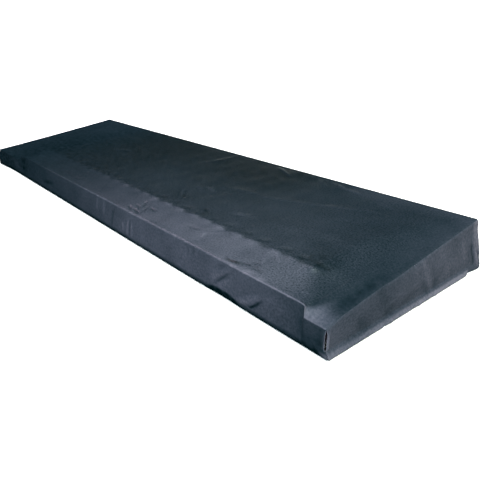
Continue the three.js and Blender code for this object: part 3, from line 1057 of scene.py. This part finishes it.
def edge_bead_highlights():
    """Small painted highlights, pale beads, where the edge crosses the gaps along the rail, in uneven
    strengths.
    """
    place = (COLUMNS - RAIL_LEFT - BEAD_PLACE) / GAP_PITCH
    nearest = np.clip(np.round(place), 0, BEAD_COUNT - 1).astype(int)
    strengths = np.random.default_rng(BEAD_DRAW).uniform(BEAD_FAINTEST, 1, BEAD_COUNT)
    return strengths[nearest] * bell((place - nearest) * GAP_PITCH, BEAD_WIDTH)


def rim_share(rows_drop, rows_band):
    """Full along the rims of a corner seam, from its top to the hem, where a painted highlight goes."""
    return ramp(0, RIM_RISE, rows_drop) * (rows_band == 0)


print("share of the top that is band", band_share().mean().round(2))

# %% [markdown]
# ## The stretch and painted light of the wrap panel
# Now the shares are laid over each other, from broad to small: the table's tones, painted light on
# the saddle beside the step, painted shade on the strip beside the right seam, and painted shading
# from every crease, since its crest catches more light than its trough. The front gets painted shade
# on its hem and low beside the step, a painted shadow where the hem turns under, a painted highlight
# on the rim beside the open corner seam and painted light on the hem by the right corner.

# %% Stretch and painted light of the wrap panel
CHEEK = ramp(RAIL_RIGHT - 1, RAIL_RIGHT + 1.5, COLUMNS)
CHEEK_LOW = (0.35, 0.95)
CHEEK_PAINTED_SHADE = 0.35
SADDLE_PLACES = (1003, 1008, 1015, 1024, LENGTH)
SADDLE_REACHES = (8, 22, 44, 44, 40)
SADDLE_FADE = (1050, 1014)
SADDLE_PAINTED_LIGHT = 0.5
SEAM_STRIP_PAINTED_SHADE = 0.2
REAR_ZONE = (100, 260)
RELIEF_PAINTED_SHADING = 0.15
RELIEF_FULL = 0.3
HEM_PAINTED_SHADE = 0.92
HEM_PALE = (0.2, 0.65)
CORNER_HEM = (1022, 1033)
CORNER_HEM_PAINTED_LIGHT = 0.4
WRAP_RIM = 2.2
WRAP_RIM_PAINTED_HIGHLIGHT = 0.6
CREST_POWER = 2.5
EDGE_PAINTED_HIGHLIGHT = 0.88
BEAD_PAINTED_HIGHLIGHT = 0.4
BACK_TONE = 0.2
BACK_HEM_PAINTED_SHADE = 0.5


# painted shading from relief: crease crests paler, troughs darker
def relief_painted_shading(relief, stretch_and_painted_light):
    return RELIEF_PAINTED_SHADING * relief * np.sqrt(np.clip(stretch_and_painted_light, 0, 1) / RELIEF_FULL)


def top_stretch_and_light():
    band, rear = band_share(), ramp(*REAR_ZONE, BEHIND)[:, None]
    top = along_wrap("top") * (1 - rear) + along_wrap("rear") * rear
    # the band takes its knot tone, partly stretch and partly a painted sheen
    top = top * (1 - band) + along_wrap("band") * band
    # painted light on the saddle beside the rail's right step, a slope that faces the light
    reach = np.interp(COLUMNS, SADDLE_PLACES, SADDLE_REACHES)
    saddle_light = CHEEK * ramp(reach, 0, BEHIND[:, None]) * ramp(*SADDLE_FADE, COLUMNS)
    # painted shade on the strip beside the right seam
    top = (top + SADDLE_PAINTED_LIGHT * saddle_light) * (1 - SEAM_STRIP_PAINTED_SHADE * shaded_seam_strip())
    return top + relief_painted_shading(crease_height(TOP_CREASES + TOP_PAINTED_SHADING, COLUMNS, BEHIND[:, None]), top)


def front_stretch_and_light():
    # painted shade on the lower front to the right of the rail's step
    low_cheek_shade = CHEEK * ramp(*CHEEK_LOW, FACE.drop)[:, None]
    # painted shade on the front hem band, and a painted shadow where the hem turns under
    front = along_wrap("front") * (1 - HEM_PAINTED_SHADE * FACE.band)[:, None] * (1 - tucked_hem_shadow())
    front = front * (1 - CHEEK_PAINTED_SHADE * low_cheek_shade)
    z = face_height(front_edge_height(COLUMNS), FACE)
    relief = crease_height(FRONT_CREASES + FRONT_PAINTED_SHADING, COLUMNS, z) * face_fade(FACE)
    front = front + relief_painted_shading(relief, front)
    # painted highlight on the rim beside the right corner seam
    rim = ramp(WRAP_RIM, WRAP_RIM / 2, from_end(RIGHT)) * rim_share(FACE.drop, FACE.band)[:, None]
    # painted light on the front hem beside the right corner, carried on from the end's upturned hem
    corner = ramp(*CORNER_HEM, COLUMNS) * ramp(*HEM_PALE, FACE.band)[:, None]
    return np.maximum(front, WRAP_RIM_PAINTED_HIGHLIGHT * rim) + CORNER_HEM_PAINTED_LIGHT * corner


def edge_stretch_and_light(front, top):
    """From the front's tone to the top's, with a painted highlight on the crest between them."""
    turn = EDGE_TURNS[:, None]
    beneath = front[0] * (1 - turn) + top[1] * turn
    # painted highlight along the crest of the rolled front edge, beaded at the rail's gaps
    crest_highlight = along_wrap("edge") * (EDGE_PAINTED_HIGHLIGHT + BEAD_PAINTED_HIGHLIGHT * edge_bead_highlights())
    return beneath + (crest_highlight - beneath) * (1 - (2 * turn - 1) ** 2) ** CREST_POWER


def wrap_stretch_and_light():
    front, top = front_stretch_and_light(), top_stretch_and_light()
    rear_edge = np.broadcast_to(top[-1], (EDGE_COUNT, len(COLUMNS)))
    # painted shade on the back's hem band
    back = BACK_TONE * (1 - BACK_HEM_PAINTED_SHADE * FACE.band)[:, None] * np.ones(len(COLUMNS))
    rows = [front[::-1], edge_stretch_and_light(front, top), top[1:-1], rear_edge, back]
    return np.clip(np.concatenate(rows), 0, 1)


# tone share of the wrap panel: stretch, with painted light and shade laid into it
stretch_and_painted_light = wrap_stretch_and_light()
print("stretch from", stretch_and_painted_light.min().round(2), "to", stretch_and_painted_light.max().round(2))

# %% [markdown]
# ## The sheen of the wrap panel
# Drawn yarn lies flat and shines a little, and slack yarn is matte. A second share says how much of
# the shiny finish each point gets: none on the upright faces, most along the right part of the top,
# and less on the strip beside the right seam and beside the step.

# %% Sheen of the wrap panel
SHEEN_PLACES = (190, 340, 460, 720, 975, 1010, LENGTH)
SHEEN_SHARES = (0.0, 0.35, 0.55, 1.0, 1.0, 0.45, 0.15)
SHEEN_TURN = (0, 0.8)
SHADED_STRIP_DULL = 0.6
CHEEK_DULL = 0.75
CHEEK_DULL_FADE = (45, 15)


def wrap_smooth():
    edge, face = ramp(*SHEEN_TURN, EDGE_TURNS), np.zeros(FACE_COUNT)
    rows = np.concatenate([face, edge, np.ones(TOP_COUNT), edge[::-1], face])
    smooth = rows[:, None] * np.interp(COLUMNS, SHEEN_PLACES, SHEEN_SHARES)
    cheek = CHEEK * ramp(*CHEEK_DULL_FADE, BEHIND)[:, None]
    clear = (1 - SHADED_STRIP_DULL * shaded_seam_strip()) * (1 - CHEEK_DULL * cheek)
    smooth[TOP_START:TOP_START + TOP_COUNT] *= clear[1:-1]
    return smooth


sheen_share = wrap_smooth()
print("mean share of the sheen", sheen_share.mean().round(2))

# %% [markdown]
# ## The stretch and painted light of an end panel
# An end panel is drawn more evenly. It is a little paler near the front and in its rear half, and a
# painted light lies along the fold at its rear corner. Its flared hem is palest, a painted light
# because it faces up a little, and the edge beside the front corner seam has a narrow painted
# highlight along its rim.

# %% Stretch and painted light of an end panel
END_TONE = 0.35
NEAR_TONE, NEAR_FADE = 0.1, (45, 0)
FAR_TONE, FAR_RISE = 0.1, (0.35, 0.6)
FOLD_PAINTED_LIGHT, FOLD_PLACE, FOLD_RISE = 0.3, (0.93, 0.97), (12, 42)
HEM_TONE, HEM_TONE_FAR, HEM_TONE_END = 0.25, 0.35, (298, 284)
END_RIM = 1.1
END_RIM_PAINTED_HIGHLIGHT = 0.7


def rear_place(z):
    """How far back the rear corner stands at a height."""
    return DEPTH + REAR_LEAN * np.clip((REAR_HEIGHT - z) / (REAR_HEIGHT - HEM_BAND), 0, 1)


def end_stretch_and_light(side):
    y, z = end_points[side][:, :, 1], end_points[side][:, :, 2]
    back = np.clip(y / DEPTH, 0, 1)
    hem = ramp(*HEM_PALE, end_rows(FACE.band))[:, None]
    share = END_TONE + NEAR_TONE * ramp(*NEAR_FADE, y) + FAR_TONE * ramp(*FAR_RISE, back)
    # painted light along the rounded fold at the rear corner
    share = share + FOLD_PAINTED_LIGHT * ramp(*FOLD_PLACE, y / rear_place(z)) * ramp(*FOLD_RISE, z)
    # painted light on the flared hem, which faces up a little
    share = share + hem * (HEM_TONE + HEM_TONE_FAR * back) * ramp(*HEM_TONE_END, y)
    on_face = crease_height(END_CREASES[side], y, z) * (1 - hem)
    on_hem = crease_height(HEM_CREASES[side], y, z) * hem
    share = share + relief_painted_shading(on_face + on_hem, share)
    upright = rim_share(end_rows(FACE.drop), end_rows(FACE.band))[:, None]
    # painted highlight on the rim beside the front corner seam
    rim = END_RIM_PAINTED_HIGHLIGHT * ramp(END_RIM, END_RIM / 2, y - y[:, :1]) * upright
    return np.clip(np.maximum(share, rim), 0, 1)


end_shares = {side: end_stretch_and_light(side) for side in end_points}
print("mean stretch of the end panels", [share.mean().round(2) for share in end_shares.values()])

# %% [markdown]
# ## From a grid to a closed sheet
# A sheet of cloth has two faces and cut edges. The outer face is the whole grid. The inner face lies
# one thickness in and needs only every second point, and a narrow rim closes the sheet all round. A
# Solidify modifier could do this, but it would double every point. The inner face gets the lowest
# tone and no sheen, which paints shade on the inside where it shows through the open seam. The grid
# also gives each point its place on the flat cloth, as a UV map in metres for the knit.

# %% Faces of a sheet
def grid_facing(points, flip):
    down, across = np.gradient(points, axis=(0, 1))
    facing = np.cross(across, down) * flip
    return facing / np.linalg.norm(facing, axis=2, keepdims=True)


def every_second(count):
    return sorted(set(range(0, count, 2)) | {count - 1})


def flat_places(points):
    along = np.linalg.norm(np.diff(points, axis=1), axis=2)
    around = np.linalg.norm(np.diff(points, axis=0), axis=2)
    u = np.concatenate([[0], np.cumsum(np.median(along, axis=0))])
    v = np.concatenate([[0], np.cumsum(np.median(around, axis=1))])
    return np.stack(np.meshgrid(u, v), axis=2) * MM


def sheet_faces(outer, inner, rows, columns, flip):
    quads = [outer[:-1, :-1], outer[:-1, 1:], outer[1:, 1:], outer[1:, :-1]]
    back = [inner[:-1, :-1], inner[1:, :-1], inner[1:, 1:], inner[:-1, 1:]]
    faces = np.stack(quads, axis=2).reshape(-1, 4).tolist()
    faces += np.stack(back, axis=2).reshape(-1, 4).tolist()
    for k, (a, b) in enumerate(zip(rows[:-1], rows[1:])):
        faces.append(outer[a:b + 1, 0].tolist() + [inner[k + 1, 0], inner[k, 0]])
        faces.append(outer[b:(a - 1 if a else None):-1, -1].tolist() + [inner[k, -1], inner[k + 1, -1]])
    for k, (a, b) in enumerate(zip(columns[:-1], columns[1:])):
        faces.append(outer[0, b:(a - 1 if a else None):-1].tolist() + [inner[0, k], inner[0, k + 1]])
        faces.append(outer[-1, a:b + 1].tolist() + [inner[-1, k + 1], inner[-1, k]])
    return faces if flip > 0 else [face[::-1] for face in faces]


print("inner columns of the wrap panel", len(every_second(len(COLUMNS))), "of", len(COLUMNS))

# %% Sheet maker
CLOTH_UV = "flat_cloth"
# name of the tone share, which carries stretch and also painted light and shade
STRETCH_AND_LIGHT = "stretch_and_painted_light"
SMOOTH = "smooth"
SMOOTH_ANGLE = math.radians(50)


def lay_flat(mesh, flat):
    """Keeps each point's place on the flat cloth as a UV map."""
    corners = np.zeros(len(mesh.loops), dtype=np.int32)
    mesh.loops.foreach_get("vertex_index", corners)
    uv = flat[corners].astype(np.float32).ravel()
    mesh.uv_layers.new(name=CLOTH_UV).data.foreach_set("uv", uv)


def smooth_piece(name, mesh):
    piece = bpy.data.objects.new(name, mesh)
    bpy.context.scene.collection.objects.link(piece)
    bpy.ops.object.select_all(action="DESELECT")
    piece.select_set(True)
    bpy.context.view_layer.objects.active = piece
    bpy.ops.object.shade_smooth_by_angle(angle=SMOOTH_ANGLE)
    print(name, "triangles", sum(len(face.vertices) - 2 for face in mesh.polygons))
    return piece


def cloth_sheet(name, points, flip, edge_ways, attributes):
    """A closed sheet from a grid, with the way out of the cloth given along its edges."""
    facing = grid_facing(points, flip)
    for place, out in edge_ways:
        facing[place] = out
    rows, columns = every_second(points.shape[0]), every_second(points.shape[1])
    inside = (points - facing * THICKNESS)[np.ix_(rows, columns)]
    outer = np.arange(points.shape[0] * points.shape[1]).reshape(points.shape[:2])
    inner = np.arange(len(rows) * len(columns)).reshape(len(rows), len(columns)) + outer.size
    places = np.concatenate([points.reshape(-1, 3), inside.reshape(-1, 3)])
    mesh = bpy.data.meshes.new(name)
    mesh.from_pydata(in_frame(places).tolist(), [], sheet_faces(outer, inner, rows, columns, flip))
    flat = flat_places(points)
    flat = np.concatenate([flat.reshape(-1, 2), flat[np.ix_(rows, columns)].reshape(-1, 2)])
    for title, shares in attributes.items():
        # the inner face gets share 0: painted shade inside the cover
        shares = np.concatenate([shares.ravel(), np.zeros(inner.size)]).astype(np.float32)
        mesh.attributes.new(title, "FLOAT", "POINT").data.foreach_set("value", shares)
    lay_flat(mesh, flat)
    return smooth_piece(name, mesh)


print("a sheet carries", CLOTH_UV, STRETCH_AND_LIGHT, SMOOTH)

# %% Make the three panels
wrap = cloth_sheet("wrap_cloth", wrap_points, 1, [
    (np.s_[:, 0], SEAMS[LEFT][1]),
    (np.s_[:, -1], SEAMS[RIGHT][1]),
], {STRETCH_AND_LIGHT: stretch_and_painted_light, SMOOTH: sheen_share})
END_NAMES = {RIGHT: "right_end_cloth", LEFT: "left_end_cloth"}
ends = {}
for side, grid in end_points.items():
    top_out, front_out, rear_out = end_borders(SEAMS[side][1])
    ends[side] = cloth_sheet(END_NAMES[side], grid, -side, [
        (np.s_[0, :], top_out),
        (np.s_[1:, 0], front_out),
        (np.s_[1:, -1], rear_out),
    ], {STRETCH_AND_LIGHT: end_shares[side], SMOOTH: np.zeros(grid.shape[:2])})
panels = (wrap, *ends.values())
print("panels", [piece.name for piece in panels])

# %% [markdown]
# ## A small language for materials
# A node material is easier to read as arithmetic. Field wraps one output socket, so that adding or
# multiplying two fields adds a Math node, and Recipe makes every other node in one way.

# %% Field and Recipe
class Field:
    """One output of a material's nodes, with arithmetic."""

    def __init__(self, recipe, socket):
        self.recipe = recipe
        self.socket = socket

    def reckon(self, operation, *values):
        return self.recipe.node("ShaderNodeMath", {"operation": operation}, dict(enumerate(values)))

    def __add__(self, other):
        return self.reckon("ADD", self, other)

    def __sub__(self, other):
        return self.reckon("SUBTRACT", self, other)

    def __rsub__(self, other):
        return self.reckon("SUBTRACT", other, self)

    def __mul__(self, other):
        return self.reckon("MULTIPLY", self, other)

    def __truediv__(self, other):
        return self.reckon("DIVIDE", self, other)

    __radd__ = __add__
    __rmul__ = __mul__

    def sine(self):
        return self.reckon("SINE", self)

    def size(self):
        return self.reckon("ABSOLUTE", self)


class Recipe:
    """A new material and the one way in which its nodes are made."""

    def __init__(self, name):
        self.material = bpy.data.materials.new(name)
        self.material.use_nodes = True
        self.tree = self.material.node_tree
        self.tree.nodes.clear()

    def node(self, kind, settings=None, inputs=None, output=0):
        made = self.tree.nodes.new(kind)
        for name, value in (settings or {}).items():
            setattr(made, name, value)
        for name, value in (inputs or {}).items():
            if isinstance(value, Field):
                self.tree.links.new(value.socket, made.inputs[name])
            else:
                made.inputs[name].default_value = value
        return Field(self, made.outputs[output])

    def finish(self, surface):
        made = self.tree.nodes.new("ShaderNodeOutputMaterial")
        self.tree.links.new(surface.socket, made.inputs["Surface"])
        return self.material


print("material makers", Field.__name__, Recipe.__name__)

# %% [markdown]
# ## The knit
# The cloth is a fine stretch knit in dark slate. Close up it has wales and courses about a millimetre
# apart, drawn as a weak bump on the flat cloth's own UV map, so that they follow every fold. From
# further off it has a grain: fine on matte cloth, a little drawn out on shiny cloth, and a soft
# mottle where the cloth is darkest. The stretch share, which also carries painted light and shade,
# picks the tone, and the sheen mixes a matte finish with a shiny one.

# %% Loops, grain and tone of the knit
WALE = 0.0011
COURSE = 0.0009
COURSE_SWAY = 1.6
COURSE_SHARE = 0.6
FINE_NOISE = {"Scale": 300.0, "Detail": 2.0, "Roughness": 0.8}
STREAK_NOISE = {"Scale": 540.0, "Detail": 1.0, "Roughness": 0.6}
CLOUD_NOISE = {"Scale": 26.0, "Detail": 4.0}
MOTTLE_NOISE = {"Scale": 130.0, "Detail": 1.0}
STREAK = (0.8, 1, 1)
FINE_GRAIN = 1.4
STREAK_GRAIN = 3.1
STREAK_LOOSE, STREAK_TIGHT = 1.6, 1.9
CLOUDS = 0.7
MOTTLE = 0.4
MOTTLED = {"From Min": 0.05, "From Max": 0.19, "To Min": 1.0, "To Max": 0.0}
TONES = [
    (0.0, (0.0002, 0.0021, 0.0027, 1)),
    (0.15, (0.0046, 0.008, 0.0112, 1)),
    (0.5, (0.0243, 0.0258, 0.0356, 1)),
    (1.0, (0.0605, 0.0555, 0.0715, 1)),
]


def knit_loops(recipe, flat):
    u = recipe.node("ShaderNodeSeparateXYZ", inputs={0: flat}, output="X")
    v = recipe.node("ShaderNodeSeparateXYZ", inputs={0: flat}, output="Y")
    wale = (u * (math.pi / WALE)).sine().size()
    course = (v * (2 * math.pi / COURSE) + wale * COURSE_SWAY).sine() * 0.5 + 0.5
    return wale * (course * COURSE_SHARE + (1 - COURSE_SHARE))


def noise(recipe, place, sizes):
    """Noise about its middle, so that it darkens as much as it brightens."""
    return recipe.node("ShaderNodeTexNoise", inputs={"Vector": place, **sizes}) - 0.5


def knit_grain(recipe, flat, drawn_and_painted_light, smooth):
    streaked = recipe.node("ShaderNodeVectorMath", {"operation": "MULTIPLY"}, {0: flat, 1: STREAK})
    fine = noise(recipe, flat, FINE_NOISE) * (1 - smooth) * FINE_GRAIN
    streaks = noise(recipe, streaked, STREAK_NOISE) * smooth
    return fine + streaks * (STREAK_LOOSE - drawn_and_painted_light * STREAK_TIGHT) * STREAK_GRAIN


def knit_tone(recipe, flat, drawn_and_painted_light, grain):
    dark = recipe.node("ShaderNodeMapRange", inputs={"Value": drawn_and_painted_light, **MOTTLED})
    mottle = noise(recipe, flat, MOTTLE_NOISE) * dark * MOTTLE
    return drawn_and_painted_light * (grain + noise(recipe, flat, CLOUD_NOISE) * CLOUDS + 1) + mottle


def tone_colour(recipe, tone):
    colour = TONES[0][1]
    for (low, _), (high, paler) in zip(TONES, TONES[1:]):
        share = (tone - low) / (high - low)
        inputs = {"Factor": share, "A": colour, "B": paler}
        colour = recipe.node("ShaderNodeMix", {"data_type": "RGBA"}, inputs, output=2)
    return colour


print("tones of the knit", len(TONES))

# %% Stretch knit material
KNIT_DEPTH = 0.00012
KNIT_BUMP = 0.12
SHEEN_GRAIN = 0.5
MATTE = {"Roughness": 1.0, "Specular IOR Level": 0.0}
SHINY = {"Roughness": 0.28, "Specular IOR Level": 0.15}


def stretch_knit():
    recipe = Recipe("stretch_knit")
    flat = recipe.node("ShaderNodeUVMap", {"uv_map": CLOTH_UV})
    drawn_and_painted_light, smooth = (
        recipe.node("ShaderNodeAttribute", {"attribute_name": name}, output="Fac")
        for name in (STRETCH_AND_LIGHT, SMOOTH)
    )
    grain = knit_grain(recipe, flat, drawn_and_painted_light, smooth)
    colour = tone_colour(recipe, knit_tone(recipe, flat, drawn_and_painted_light, grain))
    bump = recipe.node("ShaderNodeBump", inputs={
        "Height": knit_loops(recipe, flat), "Strength": KNIT_BUMP, "Distance": KNIT_DEPTH})
    matte, shiny = (
        recipe.node("ShaderNodeBsdfPrincipled", inputs={"Base Color": colour, "Normal": bump, **finish})
        for finish in (MATTE, SHINY)
    )
    sheen = smooth * (grain * SHEEN_GRAIN + 1)
    return recipe.finish(recipe.node("ShaderNodeMixShader", inputs={0: sheen, 1: matte, 2: shiny}))


knit = stretch_knit()
for piece in panels:
    piece.data.materials.append(knit)
print("cloth finish", knit.name)

# %% [markdown]
# ## The floor
# The cover stands on a plain white floor that sweeps up far behind it. A studio would use a roll of
# paper. Here it is a grid whose points rise with their distance. It is slightly warm, because the
# light from above is slightly cool, and together they read as white.

# %% Floor
FLOOR_SIZE = 26.0
FLOOR_CELLS = 80
FLOOR_FLAT = 6.0
FLOOR_SWEEP = 0.022
FLOOR_DROP = 0.0004
FLOOR_CLOUDS = {"Scale": 0.8, "Detail": 2.0}
FLOOR_SHADES = {"A": (0.9, 0.78, 0.78, 1), "B": (0.94, 0.81, 0.81, 1)}
FLOOR_ROUGHNESS = 0.9

bpy.ops.object.select_all(action="DESELECT")
floor_height = float(wrap_low.z) - FLOOR_DROP
bpy.ops.mesh.primitive_grid_add(x_subdivisions=FLOOR_CELLS, y_subdivisions=FLOOR_CELLS, size=FLOOR_SIZE)
floor = bpy.context.object
floor.name = "studio_floor"
for vertex in floor.data.vertices:
    beyond = max(0.0, vertex.co.to_2d().length - FLOOR_FLAT)
    vertex.co.z = floor_height + FLOOR_SWEEP * beyond**2
bpy.ops.object.shade_smooth()


def pale_floor():
    recipe = Recipe("pale_floor")
    place = recipe.node("ShaderNodeTexCoord", output="Object")
    clouds = recipe.node("ShaderNodeTexNoise", inputs={"Vector": place, **FLOOR_CLOUDS})
    shades = {"Factor": clouds, **FLOOR_SHADES}
    colour = recipe.node("ShaderNodeMix", {"data_type": "RGBA"}, shades, output=2)
    return recipe.finish(recipe.node("ShaderNodeBsdfPrincipled", inputs={
        "Base Color": colour, "Roughness": FLOOR_ROUGHNESS}))


floor.data.materials.append(pale_floor())
print("floor at", round(floor_height, 4))

# %% [markdown]
# ## The backdrop
# Above the floor's rim the camera would look into the dark. A wide cylinder that glows white stands
# round the floor. Only the camera sees it, so it neither lights the cloth nor shows in its sheen.

# %% Backdrop
BACKDROP_RADIUS = 12.6
BACKDROP_HEIGHT = 16.0
BACKDROP_SIDES = 96
BACKDROP_GLOW = 1.2

bpy.ops.object.select_all(action="DESELECT")
bpy.ops.mesh.primitive_cylinder_add(
    vertices=BACKDROP_SIDES, radius=BACKDROP_RADIUS, depth=BACKDROP_HEIGHT, end_fill_type="NOTHING")
backdrop = bpy.context.object
backdrop.name = "studio_backdrop"
for ray in ("visible_diffuse", "visible_glossy", "visible_transmission", "visible_shadow"):
    setattr(backdrop, ray, False)


def white_paper():
    recipe = Recipe("white_paper")
    return recipe.finish(recipe.node("ShaderNodeBsdfPrincipled", inputs={
        "Base Color": (0, 0, 0, 1), **MATTE,
        "Emission Color": (1, 1, 1, 1), "Emission Strength": BACKDROP_GLOW}))


backdrop.data.materials.append(white_paper())
print("backdrop radius", BACKDROP_RADIUS)

# %% [markdown]
# ## The light
# A broad ceiling lights the top and the floor. Three softboxes at the left glance off the sloping
# band behind the rail, and their mirror image is its sheen. Two broad ones, at the front and at the
# right, light the upright faces. They are kept out of mirror images, because from the left and from
# behind they would burn out the top.

# %% Lights
Lamp = namedtuple("Lamp", "name azimuth elevation distance size power colour mirrored")
LAMPS = [
    Lamp("left_rear_softbox", 228, 50, 2.6, 0.9, 5.0, (0.86, 0.88, 1.0), True),
    Lamp("left_softbox", 252, 47, 2.6, 0.9, 4.5, (0.9, 0.86, 1.0), True),
    Lamp("left_front_softbox", 272, 45, 2.6, 0.6, 22.6, (1.0, 0.78, 1.0), True),
    Lamp("front_softbox", 30, 22, 2.4, 1.6, 88, (0.72, 0.97, 1.0), False),
    Lamp("right_softbox", 100, 26, 2.6, 2.0, 60, (0.88, 1.0, 0.68), False),
]
SUN_STRENGTH = 8.7
SUN_COLOUR = (0.84, 1.0, 1.0)
SUN_ANGLE = 60
SUN_TILT = 12
WORLD_STRENGTH = 0.01


def hang_lamp(lamp):
    data = bpy.data.lights.new(lamp.name, "AREA")
    data.shape = "SQUARE"
    data.size = lamp.size
    data.energy = lamp.power
    data.color = lamp.colour
    made = bpy.data.objects.new(lamp.name, data)
    bpy.context.scene.collection.objects.link(made)
    back = looking_back(lamp.azimuth, lamp.elevation)
    made.location = back * lamp.distance
    made.visible_glossy = lamp.mirrored
    aim(made, back)


for lamp in LAMPS:
    hang_lamp(lamp)
sun_data = bpy.data.lights.new("ceiling", "SUN")
sun_data.energy = SUN_STRENGTH
sun_data.color = SUN_COLOUR
sun_data.angle = math.radians(SUN_ANGLE)
ceiling = bpy.data.objects.new("ceiling", sun_data)
bpy.context.scene.collection.objects.link(ceiling)
ceiling.rotation_euler = (0, math.radians(SUN_TILT), 0)
world = bpy.data.worlds.new("studio")
world.use_nodes = True
background = world.node_tree.nodes["Background"]
background.inputs["Color"].default_value = (1, 1, 1, 1)
background.inputs["Strength"].default_value = WORLD_STRENGTH
bpy.context.scene.world = world
bpy.context.scene.view_settings.view_transform = "Standard"
print("lamps", [lamp.name for lamp in LAMPS])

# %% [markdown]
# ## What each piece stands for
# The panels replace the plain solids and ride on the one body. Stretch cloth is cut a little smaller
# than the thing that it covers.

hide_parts("wrap_panel")
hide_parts("right_end_panel")
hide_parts("left_end_panel")
for piece in panels:
    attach(piece, "root")
